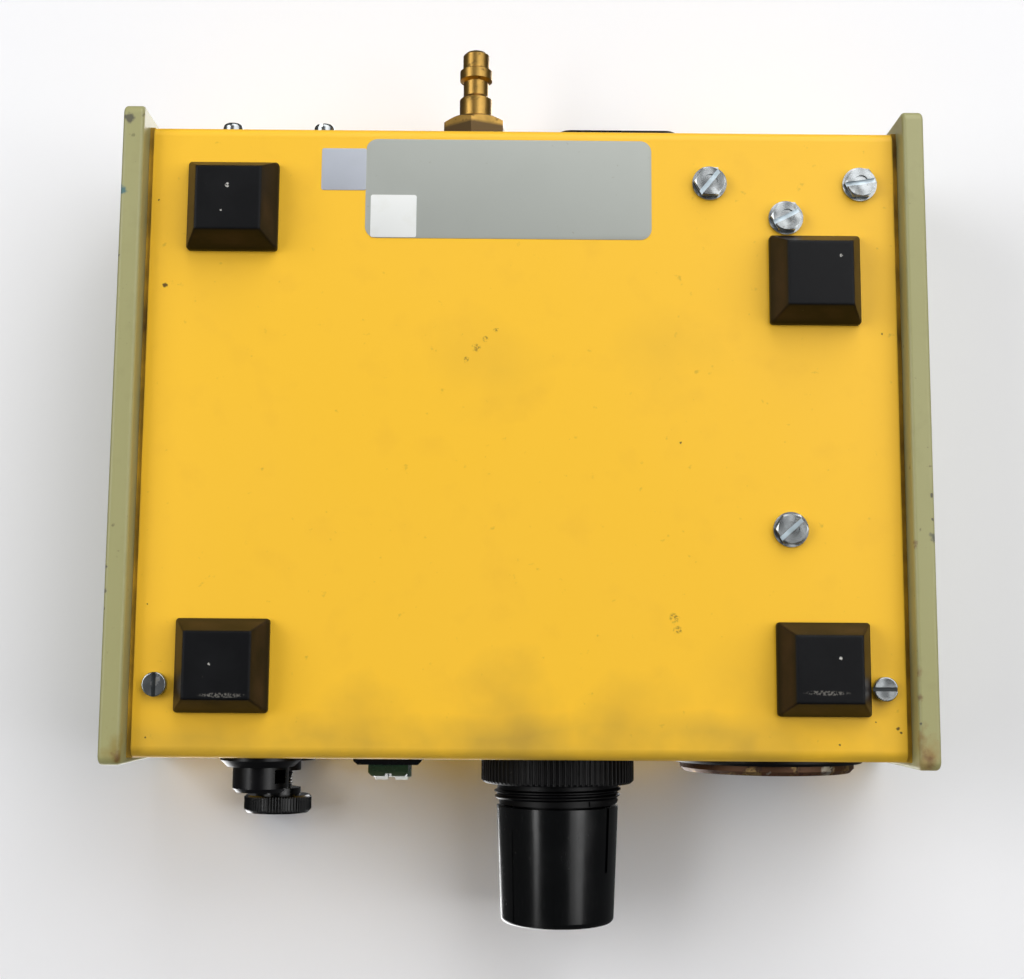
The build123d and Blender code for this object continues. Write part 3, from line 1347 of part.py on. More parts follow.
os.makedirs("parts", exist_ok=True)
for name, shape in parts.items():
    export_step(shape, f"parts/{name}.step")
print(len(parts), "sub-parts; front panel at", round(front_y, 3), "rear panel at", round(rear_y, 3))
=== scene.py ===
# %% [markdown]
# A benchtop fluid dispenser, seen from below
# The real object is a low steel case that lies on its top, so its base, its rubber feet and the
# edges of its controls face the camera. Every piece comes at its real size from the CAD model.
# Modelling them again here would lose that size, so this lesson adds only what the model lacks:
# a finish for every surface, and thin things such as labels, threads and a printed scale.

# %% Load the frame
import math

import bmesh
import bpy
from mathutils import Matrix, Vector


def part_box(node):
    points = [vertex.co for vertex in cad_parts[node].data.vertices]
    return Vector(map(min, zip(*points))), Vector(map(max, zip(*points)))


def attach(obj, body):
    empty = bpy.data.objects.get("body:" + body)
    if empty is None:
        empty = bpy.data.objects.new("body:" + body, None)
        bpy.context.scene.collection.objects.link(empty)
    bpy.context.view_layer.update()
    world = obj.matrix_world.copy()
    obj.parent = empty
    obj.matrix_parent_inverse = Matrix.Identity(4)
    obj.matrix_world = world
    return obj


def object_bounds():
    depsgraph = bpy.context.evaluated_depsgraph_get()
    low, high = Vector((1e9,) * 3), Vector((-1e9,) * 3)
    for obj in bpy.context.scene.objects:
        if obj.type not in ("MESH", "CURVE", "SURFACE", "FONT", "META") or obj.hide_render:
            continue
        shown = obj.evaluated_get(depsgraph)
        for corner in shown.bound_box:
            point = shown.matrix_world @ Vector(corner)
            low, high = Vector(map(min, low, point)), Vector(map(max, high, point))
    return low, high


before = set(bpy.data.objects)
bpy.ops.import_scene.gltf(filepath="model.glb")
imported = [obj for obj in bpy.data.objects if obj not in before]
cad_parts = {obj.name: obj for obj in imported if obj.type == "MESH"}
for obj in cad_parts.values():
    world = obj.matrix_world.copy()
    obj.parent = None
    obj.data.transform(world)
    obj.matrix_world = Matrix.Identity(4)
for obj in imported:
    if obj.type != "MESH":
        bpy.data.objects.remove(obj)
cad_low, cad_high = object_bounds()
MM = 0.001
print("nodes", len(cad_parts), "size in mm", [round(s / MM, 1) for s in cad_high - cad_low])

# %% [markdown]
# Colours
# Paint charts and photographs give colours as sRGB hex values, while a shader works with linear
# light. Typing linear numbers by hand is easy to get wrong, so one function does the change.

# %% Colours
def linear(hex_colour):
    """Turns an sRGB hex value into the linear red, green, blue and alpha that a shader takes."""
    parts = [int(hex_colour[i:i + 2], 16) / 255 for i in (0, 2, 4)]
    return [p / 12.92 if p <= 0.04045 else ((p + 0.055) / 1.055) ** 2.4 for p in parts] + [1.0]


print("linear yellow", [round(c, 3) for c in linear("F6BE2E")])

# %% [markdown]
# Nodes
# A finish is a small network of nodes. Clicking it together in the shader editor works too, but a
# script shows every setting. One function adds any node, sets its properties and sockets, and
# joins its inputs to the outputs of other nodes.

# %% Nodes
def add(material, kind, settings=None, links=None):
    """Adds one node of this kind to the material."""
    new = material.node_tree.nodes.new("ShaderNode" + kind)
    for name, value in (settings or {}).items():
        if isinstance(name, str) and hasattr(new, name):
            setattr(new, name, value)
        else:
            new.inputs[name].default_value = value
    for name, output in (links or {}).items():
        material.node_tree.links.new(output, new.inputs[name])
    return new


def finish(name, colour, roughness, **sockets):
    """Starts a finish: the shader with its even values, and the place on the object in metres."""
    material = bpy.data.materials.new(name)
    material.use_nodes = True
    material.node_tree.nodes.clear()
    even = {"Base Color": linear(colour), "Roughness": roughness}
    even.update({key.replace("_", " "): value for key, value in sockets.items()})
    shader = add(material, "BsdfPrincipled", even)
    shader.name = "surface"
    add(material, "OutputMaterial", {}, {"Surface": shader.outputs["BSDF"]})
    add(material, "TexCoord").name = "place"
    return material


def spread_of(material, stretch=(1, 1, 1)):
    """The place on the object, stretched along its axes for patterns that run one way."""
    place = material.node_tree.nodes["place"].outputs["Object"]
    return add(material, "Mapping", {"Scale": stretch}, {"Vector": place}).outputs["Vector"]


# %% [markdown]
# Layers of a finish
# Real surfaces are a base with things on top: dirt, dust, chips, stains. A photograph as a texture
# would carry them too, but it can't be turned, scaled or mended. So each layer here is a mask that
# says where, and a colour and a roughness that say what.

# %% Masks and layers
def patches(material, size_mm, above, soft=0.06, detail=3.0, stretch=(1, 1, 1), most=1.0):
    """A mask of cloudy patches of about this size. The higher `above` is, the rarer they are."""
    noise = add(material, "TexNoise", {"Scale": 1 / (size_mm * MM), "Detail": detail},
                {"Vector": spread_of(material, stretch)})
    return add(material, "MapRange", {"From Min": above, "From Max": above + soft, "To Max": most},
               {"Value": noise.outputs[0]}).outputs[0]


def band(material, axis, start_mm, full_mm, wander_mm=0.0, wave_mm=20.0):
    """A mask that grows from 0 at one place along an axis to 1 at another, with a wandering edge."""
    split = add(material, "SeparateXYZ", {}, {"Vector": spread_of(material)})
    place = split.outputs[axis]
    if wander_mm:
        noise = add(material, "TexNoise", {"Scale": 1 / (wave_mm * MM), "Detail": 3.0},
                    {"Vector": spread_of(material)})
        reach = {"operation": "MULTIPLY_ADD", 1: wander_mm * MM, 2: -wander_mm * MM / 2}
        shift = add(material, "Math", reach, {0: noise.outputs[0]})
        place = add(material, "Math", {"operation": "ADD"}, {0: place, 1: shift.outputs[0]}).outputs[0]
    return add(material, "MapRange", {"From Min": start_mm * MM, "From Max": full_mm * MM},
               {"Value": place}).outputs[0]


def spot(material, centre_mm, size_mm, ragged=0.7, most=1.0, stretch=(1, 1, 1), core=0.3):
    """A mask of one ragged spot at a place on the object. A small core makes its edge soft."""
    noise = add(material, "TexNoise", {"Scale": 1.6 / (size_mm * MM), "Detail": 4.0},
                {"Vector": spread_of(material)})
    shake = [size_mm * MM * ragged] * 3
    moved = add(material, "VectorMath", {"operation": "MULTIPLY_ADD", 1: shake},
                {0: noise.outputs["Color"], 2: spread_of(material, stretch)})
    middle = [c * MM * s + m / 2 for c, s, m in zip(centre_mm, stretch, shake)]
    gap = add(material, "VectorMath", {"operation": "DISTANCE", 1: middle}, {0: moved.outputs[0]})
    return add(material, "MapRange", {"From Min": size_mm * MM * 0.5, "From Max": size_mm * MM * core,
                                      "To Max": most}, {"Value": gap.outputs["Value"]}).outputs[0]


def both(material, first, second):
    """A mask that is 1 only where both masks are."""
    return add(material, "Math", {"operation": "MULTIPLY"}, {0: first, 1: second}).outputs[0]


MIX_COLOUR = ("RGBA", 6, 7, 2)
MIX_NUMBER = ("FLOAT", 2, 3, 0)


def lay(material, mask, colour, roughness=None, metallic=None):
    """Lays a colour, and a roughness or metal share if given, over the finish where the mask is 1.

    The mix node numbers its sockets by kind: its low and high inputs and its output differ.
    """
    shader = material.node_tree.nodes["surface"]
    wanted = {"Base Color": linear(colour), "Roughness": roughness, "Metallic": metallic}
    for socket, value in wanted.items():
        if value is None:
            continue
        target = shader.inputs[socket]
        kind, low, high, out = MIX_COLOUR if socket == "Base Color" else MIX_NUMBER
        mix = add(material, "Mix", {"data_type": kind, high: value}, {0: mask})
        if target.is_linked:
            material.node_tree.links.new(target.links[0].from_socket, mix.inputs[low])
        else:
            even = target.default_value
            mix.inputs[low].default_value = list(even) if kind == "RGBA" else even
        material.node_tree.links.new(mix.outputs[out], target)


def relief(material, size_mm, height_mm, kind="TexNoise", stretch=(1, 1, 1), **settings):
    """Fine relief of a real size and height, for texture that is too small to be geometry."""
    texture = add(material, kind, {"Scale": 1 / (size_mm * MM), **settings},
                  {"Vector": spread_of(material, stretch)})
    shader = material.node_tree.nodes["surface"]
    normal = shader.inputs["Normal"]
    bump = add(material, "Bump", {"Distance": height_mm * MM}, {"Height": texture.outputs[0]})
    if normal.is_linked:
        material.node_tree.links.new(normal.links[0].from_socket, bump.inputs["Normal"])
    material.node_tree.links.new(bump.outputs["Normal"], normal)


def wear(material, *nodes):
    """Gives CAD pieces this finish."""
    for name in nodes:
        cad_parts[name].data.materials.clear()
        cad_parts[name].data.materials.append(material)
    print(material.name, "on", ", ".join(nodes))


# %% [markdown]
# The yellow case
# Steel sheet, bent and sprayed with yellow stoving enamel. The eye sees a warm, even colour, the
# faint orange peel that sprayed enamel dries with, and the grime of years of handling: a dull
# band along the front bend, rubbed smudges, and a few dark chips. A clean paint would look new,
# so the dirt is layered on, each mark where it sits on the real base.

# %% Yellow stoving enamel
ORANGE_PEEL = 1.1
yellow_enamel = finish("yellow_stoving_enamel", "F8C22C", 0.45, Specular_IOR_Level=0.35,
                       Coat_Weight=0.05, Coat_Roughness=0.3)
relief(yellow_enamel, ORANGE_PEEL, 0.010, Detail=1.0)
lay(yellow_enamel, patches(yellow_enamel, 70, 0.42, 0.3, most=0.5), "F8C236")
lay(yellow_enamel, patches(yellow_enamel, 9, 0.56, 0.25, most=0.16), "D9A02A", 0.5)
lay(yellow_enamel, patches(yellow_enamel, 2.2, 0.70, 0.10, most=0.35), "9A7A22")

# %% Grime on the enamel, a darker front bend and painted shadow in the side seams
HAND_GRIME = "9A8236"
SEAM_SHADE_AND_DIRT = "4A3412"
DARK_SPECK = "3A2A16"
BASE_Z = 7.6
below_panel = band(yellow_enamel, "Z", 15, 10)
grimy_edge = both(yellow_enamel, band(yellow_enamel, "Y", -55, -60, wander_mm=14, wave_mm=26),
                  patches(yellow_enamel, 18, 0.25, 0.45, most=0.5))
lay(yellow_enamel, both(yellow_enamel, grimy_edge, below_panel), HAND_GRIME, 0.6)
# Darker along the front bend.
darker_bend = both(yellow_enamel, band(yellow_enamel, "Y", -62.8, -65.6),
                  patches(yellow_enamel, 5, 0.30, 0.4, stretch=(0.3, 1, 1), most=0.55))
lay(yellow_enamel, both(yellow_enamel, darker_bend, below_panel), "94803A", 0.62)
SMUDGES = ((34, -56, 24, 0.22), (4, -57, 30, 0.30), (-24, -59, 26, 0.20), (10, 24, 30, 0.12),
           (-32, 26, 26, 0.10), (-53, -48, 30, 0.10))
for x, y, size, share in SMUDGES:
    smudge = spot(yellow_enamel, (x, y, BASE_Z), size, 0.9, most=share, core=0.05)
    lay(yellow_enamel, smudge, "8C7434", 0.55)
RUBBED_MARKS = ((-33.9, -34.4, 1.7), (-34.7, -37.0, 1.4), (8.4, 28.4, 1.0), (10.4, 26.4, 1.3),
                (12.6, 23.6, 0.9), (5.9, 30.6, 0.8))
for x, y, size in RUBBED_MARKS:
    flecks = patches(yellow_enamel, 0.5, 0.42, 0.2, most=0.75)
    rubbed = both(yellow_enamel, spot(yellow_enamel, (x, y, BASE_Z), size * 1.6), flecks)
    lay(yellow_enamel, rubbed, "7A5A1E")
SPECKS = ((81.3, 40.3, 1.3), (-82.9, -58.1, 0.9), (-83.6, -59.0, 0.7), (-70.1, -61.7, 0.5),
          (-78.1, -56.7, 0.4), (-35.7, 5.0, 0.6), (81.9, -61.1, 0.5), (82.5, -32.0, 0.4),
          (-81.6, 30.3, 0.5), (83.4, 60.3, 0.5))
for x, y, size in SPECKS:
    lay(yellow_enamel, spot(yellow_enamel, (x, y, BASE_Z), size, 0.9, 0.9), DARK_SPECK, 0.7)
# In the side seams, in the gap between the pan and the plates, a painted shadow mixed with dirt.
for side in (-1, 1):
    seam_band = both(yellow_enamel, band(yellow_enamel, "X", side * 84.6, side * 85.4),
                band(yellow_enamel, "Z", 14, 11))
    seam_shade_and_dirt = both(yellow_enamel, seam_band, patches(yellow_enamel, 12, 0.2, 0.5, most=0.9))
    lay(yellow_enamel, seam_shade_and_dirt, SEAM_SHADE_AND_DIRT, 0.7)
wear(yellow_enamel, "base_pan", "top_cover")

# %% [markdown]
# The end plates
# Thick plates with rounded edges in the same stoving enamel, mixed to an olive khaki. They stand
# proud of the case and take every knock, so their edges carry chips down to dark primer, and brown
# stains at the front corners. Each list gives a mark's place on the edge, its size and its colour.

# %% Olive stoving enamel
olive_enamel = finish("olive_stoving_enamel", "9F9C6A", 0.45, Coat_Weight=0.08, Coat_Roughness=0.35)
relief(olive_enamel, ORANGE_PEEL, 0.008, Detail=1.0)
lay(olive_enamel, patches(olive_enamel, 40, 0.44, 0.3, most=0.45), "A6A476")
lay(olive_enamel, patches(olive_enamel, 6, 0.58, 0.2, most=0.3), "8B885A")
lay(olive_enamel, patches(olive_enamel, 2.0, 0.70, 0.05, most=0.6), "5E5636")
PLATE_Z = 3.0
PRIMER = "4A4740"
RUST = "6A4526"
BLUE_PAINT = "2A6670"
CHIPS = ((89.6, 78.2, 2.6, PRIMER), (90.9, 61.3, 3.2, BLUE_PAINT), (-90.6, -7.0, 1.2, PRIMER),
         (-90.9, -16.4, 2.6, "55564E"), (-90.6, -12.3, 1.0, PRIMER), (-86.6, -56.9, 0.9, PRIMER),
         (91.0, -24.0, 1.2, PRIMER), (91.0, -29.4, 1.2, PRIMER), (91.0, -33.2, 1.0, PRIMER),
         (91.0, 46.0, 1.0, PRIMER), (88.6, 74.0, 1.0, "7C7A50"))
STAINS = ((-88.4, -64.0, 7.0, "9A7A40"), (-88.6, -64.6, 3.4, RUST), (87.6, -63.6, 6.0, "8C7A34"),
          (86.7, -65.4, 3.0, RUST), (-86.4, -46.0, 2.0, "7E5E34"), (-86.4, -51.5, 1.8, "6E4E2C"),
          (-86.4, -60.0, 4.0, "8A6E3C"), (-86.4, -18.0, 1.6, RUST))
for x, y, size, colour in STAINS:
    stain = spot(olive_enamel, (x, y, PLATE_Z), size, 1.1, 0.75, stretch=(1, 0.6, 1), core=0.1)
    lay(olive_enamel, stain, colour, 0.6)
for x, y, size, colour in CHIPS:
    lay(olive_enamel, spot(olive_enamel, (x, y, PLATE_Z), size, 0.9, 0.85), colour, 0.65)
wear(olive_enamel, "end_plate_left", "end_plate_right")

# %% [markdown]
# Rubber
# The feet are moulded black rubber. Rubber has no sharp shine: it looks dull and soft, goes
# brownish where it has aged, and picks up white dust and scuffs on its faces. The bevels catch
# more light and age first, so the brown lies at their height only.

# %% Moulded rubber and nitrile
def soft_edges(material, radius_mm):
    """Rounds the edges to the light by this radius, as a moulded edge is never sharp."""
    rounded = add(material, "Bevel", {"Radius": radius_mm * MM, "samples": 6})
    shader = material.node_tree.nodes["surface"]
    material.node_tree.links.new(rounded.outputs["Normal"], shader.inputs["Normal"])


def aged_rubber(name, colour, aged):
    """Black rubber, browner on its slopes and dusty on its faces."""
    rubber = finish(name, colour, 0.42, IOR=1.52, Specular_IOR_Level=0.17)
    soft_edges(rubber, 0.9)
    relief(rubber, 0.5, 0.012, Detail=2.0)
    slope = both(rubber, band(rubber, "Z", 0.1, 1.8), band(rubber, "Z", 5.6, 4.2))
    lay(rubber, both(rubber, slope, patches(rubber, 7, 0.30, 0.4, most=0.85)), aged, 0.40)
    lay(rubber, patches(rubber, 0.7, 0.76, 0.04, most=0.5), "8A877E", 0.8)
    lay(rubber, patches(rubber, 12, 0.52, 0.2, most=0.25), "16171A", 0.55)
    return rubber


feet_rubber = aged_rubber("moulded_feet_rubber", "07080B", "30221A")
SCUFFS = ((64.0, -51.7), (-65.8, -50.4))
for x, y in SCUFFS:
    scuff = spot(feet_rubber, (x, y, 0), 11, 0.35, 0.7, stretch=(1, 9, 1))
    lay(feet_rubber, both(feet_rubber, scuff, patches(feet_rubber, 0.5, 0.46, 0.1)), "77746E", 0.8)
DUST = ((67.0, -45.1, 0.7), (-68.9, -42.9, 0.8), (-70.9, 46.4, 0.8), (-62.5, 34.2, 0.7), (-65.0, 31.5, 0.8),
        (66.4, 61.4, 1.1), (67.6, 55.6, 0.6), (-69.9, 31.6, 0.7))
for x, y, size in DUST:
    dusty = both(feet_rubber, spot(feet_rubber, (x, y, 0), size, 0.9, stretch=(1, 1, 0.2)),
                 patches(feet_rubber, 0.4, 0.40, 0.1))
    lay(feet_rubber, dusty, "C4C2BC", 0.85)
wear(feet_rubber, "feet")
wear(aged_rubber("nitrile_rubber", "1B1A19", "26221E"), "regulator_diaphragm")

# %% [markdown]
# Steel: plated, turned and drawn
# Screws and brackets are steel with a thin, faintly blue zinc plate; shafts and the valve body are
# bright turned steel; springs are drawn wire. A metal's colour is its reflection, so each keeps a
# light base colour, full metal share, and differs in how rough and how streaky it is.

# %% Steels
def steel(name, colour, roughness, streak_mm, dirt, dirt_above=0.60):
    """Bare or plated steel with fine tool marks and a little dirt."""
    metal = finish(name, colour, roughness, Metallic=1.0)
    relief(metal, streak_mm, 0.006, stretch=(1, 6, 1), Detail=2.0)
    lay(metal, patches(metal, 2.5, 0.48, 0.3, most=0.4), "A9AEB2", roughness + 0.08)
    lay(metal, patches(metal, 3.0, dirt_above, 0.08, most=0.75), dirt, 0.6, 0.6)
    return metal


zinc_steel = steel("zinc_plated_steel", "D3D6D8", 0.30, 0.5, "6A6253", 0.66)
wear(zinc_steel, "plate_screws", "bracket_nuts", "gauge_clamp", "air_plug_nut", "transformer_frame",
     "board_bracket")
zinc_heads = steel("zinc_plated_screw_heads", "A4A8A9", 0.24, 0.5, "6E6659", 0.64)
relief(zinc_heads, 2.8, 0.16, Detail=0.0)
# The slot floors are painted: the hex screws' floor brighter and bluish, a painted reflection; the
# cheese-head screws' floor darker, a painted shade.
SLOT_FLOOR_REFLECTION_AND_SHADE = ((6.2, "C4D2DA", 0.40), (6.5, "4A4D4E", 0.5))
for height, colour, roughness in SLOT_FLOOR_REFLECTION_AND_SHADE:
    painted_slot_light = both(zinc_heads, band(zinc_heads, "Z", height - 0.12, height - 0.08),
                      band(zinc_heads, "Z", height + 0.12, height + 0.08))
    lay(zinc_heads, painted_slot_light, colour, roughness)
wear(zinc_heads, "bracket_screws", "cover_screws", "pedal_socket_screws")
wear(steel("turned_steel", "DADADB", 0.18, 0.3, "8A8680", 0.70), "regulator_spindle",
     "regulator_spring_seat", "diaphragm_plate", "vacuum_needle", "solenoid_body", "solenoid_plunger")
wear(steel("drawn_spring_wire", "9C9EA2", 0.30, 0.2, "5A5550", 0.66), "regulator_spring",
     "regulator_poppet_spring", "solenoid_spring")

# %% [markdown]
# Brass, bronze and aluminium
# The air plug is turned from brass bar and has worn for years: golden where a coupling rubs it,
# brown and dull in its grooves. The silencer is sintered bronze, grains of a tenth of a
# millimetre pressed together, drawn three times as coarse here to show. The blocks are
# aluminium, one milled from bar and one cast and blasted.

# %% Brass
def brass_finish(name, share_dull):
    """Turned brass with rings left by the tool and dull brown patches."""
    brass = finish(name, "A98545", 0.34, Metallic=1.0)
    relief(brass, 0.35, 0.006, stretch=(1, 5, 1), Detail=1.0)
    lay(brass, patches(brass, 5, 0.50 - share_dull, 0.25, most=0.7), "7A6232", 0.42)
    lay(brass, patches(brass, 1.4, 0.60 - share_dull / 2, 0.10, most=0.7), "57441F", 0.5, 0.8)
    return brass


worn_brass = brass_finish("worn_turned_brass", 0.05)
lay(worn_brass, band(worn_brass, "Y", 84.4, 83.6), "57462F", 0.45)
wear(worn_brass, "air_plug")
wear(brass_finish("clean_turned_brass", -0.08), "regulator_poppet", "regulator_end_cap",
     "gauge_movement", "gauge_stem", "vacuum_ejector")

# %% Bronze and aluminium
sintered_bronze = finish("sintered_bronze", "9A6F42", 0.5, Metallic=1.0)
relief(sintered_bronze, 0.35, 0.12, "TexVoronoi")
lay(sintered_bronze, patches(sintered_bronze, 0.5, 0.5, 0.2, most=0.6), "6A4A2C", 0.6)
wear(sintered_bronze, "exhaust_silencer")
milled_aluminium = finish("milled_aluminium", "C9CBCD", 0.32, Metallic=1.0)
relief(milled_aluminium, 0.4, 0.008, stretch=(8, 1, 1), Detail=1.0)
lay(milled_aluminium, patches(milled_aluminium, 8, 0.5, 0.2, most=0.4), "B4B7BA", 0.4)
wear(milled_aluminium, "valve_block")
cast_alloy = finish("blasted_cast_alloy", "A4A6A8", 0.55, Metallic=1.0)
relief(cast_alloy, 0.7, 0.06, Detail=3.0)
lay(cast_alloy, patches(cast_alloy, 4, 0.5, 0.2, most=0.4), "8C8E90", 0.62)
wear(cast_alloy, "regulator_body")

# %% [markdown]
# Black plastics
# Four plastics, all black, and told apart only by their shine. The regulator's nut and bonnet are
# moulded nylon, slightly grainy and dull. The knobs are moulded ABS with a satin skin. The
# socket, the switch and the inlet are glossy phenolic or nylon. Inside, the valve coil and the
# parts on the board are plain epoxy. Fine dust in the corners stops them from looking like holes.

# %% Black plastics
def moulded(name, colour, roughness, grain_mm, grain_height, dust, **sockets):
    """A moulded black plastic with its mould's grain, handling marks and a little dust."""
    plastic = finish(name, colour, roughness, IOR=1.5, **sockets)
    relief(plastic, grain_mm, grain_height, Detail=2.0)
    lay(plastic, patches(plastic, 8, 0.46, 0.25, most=0.5), colour, roughness + 0.12)
    lay(plastic, patches(plastic, 1.2, 0.70, 0.06, most=dust), "6E6A62", 0.8)
    return plastic


black_nylon = moulded("grained_black_nylon", "040405", 0.38, 0.4, 0.010, 0.12, Specular_IOR_Level=0.2)
wear(black_nylon, "regulator_ring_nut", "regulator_bonnet", "gauge_flange", "gauge_case", "air_fittings")
satin_abs = moulded("satin_black_abs", "030405", 0.20, 0.6, 0.004, 0.10, Specular_IOR_Level=0.40)
lay(satin_abs, patches(satin_abs, 1.5, 0.60, 0.1, stretch=(3, 0.5, 3), most=0.3), "111214", 0.36)
wear(satin_abs, "regulator_knob", "vacuum_knob")
gloss_phenolic = moulded("glossy_black_phenolic", "040406", 0.27, 2.5, 0.006, 0.12, Specular_IOR_Level=0.3)
wear(gloss_phenolic, "switch_housing", "outlet_socket", "vacuum_bush", "mains_inlet", "fuse_drawer",
     "pedal_socket")
wear(moulded("black_epoxy", "141414", 0.45, 0.5, 0.02, 0.3), "solenoid_coil", "board_components")

# %% [markdown]
# The gauge
# Its bezel was chromed brass. The plating has worn off in patches and the brass below has gone
# brown and rusty, so the finish is the old metal with islands of plate left on it. Behind the
# glass, the dial is white enamel, with a black needle and a printed scale.

# %% Worn plated bezel
worn_plate = finish("worn_plated_brass", "5A3D28", 0.50, Metallic=0.6)
relief(worn_plate, 1.2, 0.05, Detail=4.0)
lay(worn_plate, patches(worn_plate, 4, 0.53, 0.10, most=0.8), "A58A58", 0.38, 0.95)
lay(worn_plate, patches(worn_plate, 7, 0.60, 0.06, most=0.9), "B9B2A4", 0.34, 1.0)
lay(worn_plate, patches(worn_plate, 2.0, 0.56, 0.08, most=0.9), "3C2113", 0.75, 0.2)
wear(worn_plate, "gauge_bezel")

# %% Dial, needle and glass
dial_enamel = finish("white_dial_enamel", "EFEEE6", 0.35)
relief(dial_enamel, 1.0, 0.004)
lay(dial_enamel, patches(dial_enamel, 9, 0.50, 0.3, most=0.3), "E2DECB", 0.4)
wear(dial_enamel, "gauge_dial")
needle_paint = finish("black_needle_paint", "0C0C0C", 0.4)
lay(needle_paint, patches(needle_paint, 1.0, 0.60, 0.1, most=0.3), "2A2A2A", 0.55)
wear(needle_paint, "gauge_pointer")
clear_glass = finish("clear_gauge_glass", "FFFFFF", 0.03, Transmission_Weight=1.0, IOR=1.5)
relief(clear_glass, 6, 0.002)
wear(clear_glass, "gauge_lens")
fuse_glass = finish("fuse_glass_and_caps", "E8ECEC", 0.1, Transmission_Weight=0.8, IOR=1.5)
for start, end in ((61.4, 61.5), (71.8, 71.7)):
    lay(fuse_glass, band(fuse_glass, "Y", end, start), "C8C9CB", 0.3, 1.0)
wear(fuse_glass, "fuse")

# %% [markdown]
# The lit rocker
# A lamp shines through it when the unit is on, so it is moulded in translucent green
# polycarbonate. Unlit, it looks dark green inside. Along the edge that faces up, a paler band
# and a pale strip are a painted highlight.

# %% Green polycarbonate
green_lens = finish("green_polycarbonate", "26472B", 0.26, Transmission_Weight=0.15, IOR=1.58)
relief(green_lens, 0.8, 0.006)
lay(green_lens, patches(green_lens, 3, 0.50, 0.2, most=0.4), "1C3A24", 0.34)
# A paler band, then a pale strip along the upper edge: a painted highlight.
highlight_fade_band = band(green_lens, "Y", -69.2, -70.6)
lay(green_lens, both(green_lens, highlight_fade_band, patches(green_lens, 2.5, 0.30, 0.2, most=0.7)), "4E5C46", 0.4)
PAINTED_HIGHLIGHT_EDGE = -71.3
lay(green_lens, band(green_lens, "Y", PAINTED_HIGHLIGHT_EDGE + 0.1, PAINTED_HIGHLIGHT_EDGE), "D6D6C8", 0.55)
wear(green_lens, "switch_rocker")

# %% [markdown]
# Inside the case
# Nothing in the photograph shows these, but the part can be opened, so each has its real finish:
# tinned blades, clear polyurethane tube, a core of stacked steel sheets half a millimetre thick,
# a winding wrapped in polyester tape, and a green fibreglass board with its copper tracks.

# %% Tube, tinned brass, core, tape and board
tinned_brass = finish("tinned_brass", "C4C2B8", 0.3, Metallic=1.0)
relief(tinned_brass, 0.6, 0.006)
lay(tinned_brass, patches(tinned_brass, 2, 0.56, 0.15, most=0.5), "8F8A78", 0.45)
wear(tinned_brass, "switch_terminals", "inlet_pins")
air_tube = finish("blue_polyurethane_tube", "2F5F9A", 0.22, Transmission_Weight=0.25, IOR=1.5)
relief(air_tube, 2.0, 0.01)
lay(air_tube, patches(air_tube, 6, 0.52, 0.2, most=0.3), "234A7C", 0.3)
wear(air_tube, "air_tubes")
core_iron = finish("stacked_core_sheets", "4A4B4E", 0.42, Metallic=0.8)
relief(core_iron, 1.0, 0.10, "TexWave", bands_direction="X", wave_profile="SAW")
lay(core_iron, patches(core_iron, 5, 0.55, 0.15, most=0.6), "5E4A38", 0.6, 0.3)
wear(core_iron, "transformer_core")
coil_tape = finish("polyester_winding_tape", "C9A227", 0.25, Transmission_Weight=0.1)
relief(coil_tape, 12.0, 0.25, "TexWave", bands_direction="Y", wave_profile="SAW")
lay(coil_tape, patches(coil_tape, 3, 0.50, 0.2, most=0.4), "8E6A1C", 0.3)
wear(coil_tape, "transformer_coil")
board_green = finish("fibreglass_board", "17512F", 0.3, Coat_Weight=0.3)
relief(board_green, 1.6, 0.03, "TexBrick", **{"Brick Width": 3.0})
lay(board_green, patches(board_green, 4, 0.52, 0.02, 0.0, most=0.8), "2C7A3F", 0.3)
wear(board_green, "control_board")

# %% [markdown]
# Pieces too thin for the model
# Labels are film a seventh of a millimetre thick, threads have a tooth under a millimetre, and
# a dial's scale is ink. They are built here as meshes, because a picture of a thread has no edge
# to catch the light. One function turns a mesh under construction into a finished piece.

# %% A function for pieces
def piece(name, mesh, material, body):
    """Makes an object of a mesh under construction, and hangs it on its body."""
    data = bpy.data.meshes.new(name)
    bmesh.ops.recalc_face_normals(mesh, faces=mesh.faces)
    mesh.to_mesh(data)
    mesh.free()
    data.materials.append(material)
    for face in data.polygons:
        face.use_smooth = True
    data.set_sharp_from_angle(angle=math.radians(35))
    made = bpy.data.objects.new(name, data)
    bpy.context.scene.collection.objects.link(made)
    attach(made, body)
    print(name, "faces", len(data.polygons), "size in mm", [round(d / MM, 2) for d in made.dimensions])
    return made


def rounded_outline(low, high, radius, steps=8):
    """The points of a rectangle with round corners, in millimetres."""
    corners = ((high[0], high[1], 0), (low[0], high[1], 90), (low[0], low[1], 180), (high[0], low[1], 270))
    points = []
    for x, y, turn in corners:
        middle_x = x - radius if x == high[0] else x + radius
        middle_y = y - radius if y == high[1] else y + radius
        for step in range(steps + 1):
            angle = math.radians(turn + 90 * step / steps)
            points.append((middle_x + radius * math.cos(angle), middle_y + radius * math.sin(angle)))
    return points


# %% [markdown]
# The base's labels
# Three stickers are pressed on the base: a silver-grey foil plate, a small grey square beside it
# and a white paper sticker over its corner. They are plain films here. Foil on a sheet could be
# a flat plane, but a plane has no edge: here the film has a thickness and a rolled rim, and the
# paper follows the plate's edge as a step.

# %% Label films
base_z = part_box("base_pan")[0].z / MM
FILM = 0.14
FILM_RIM = 0.12


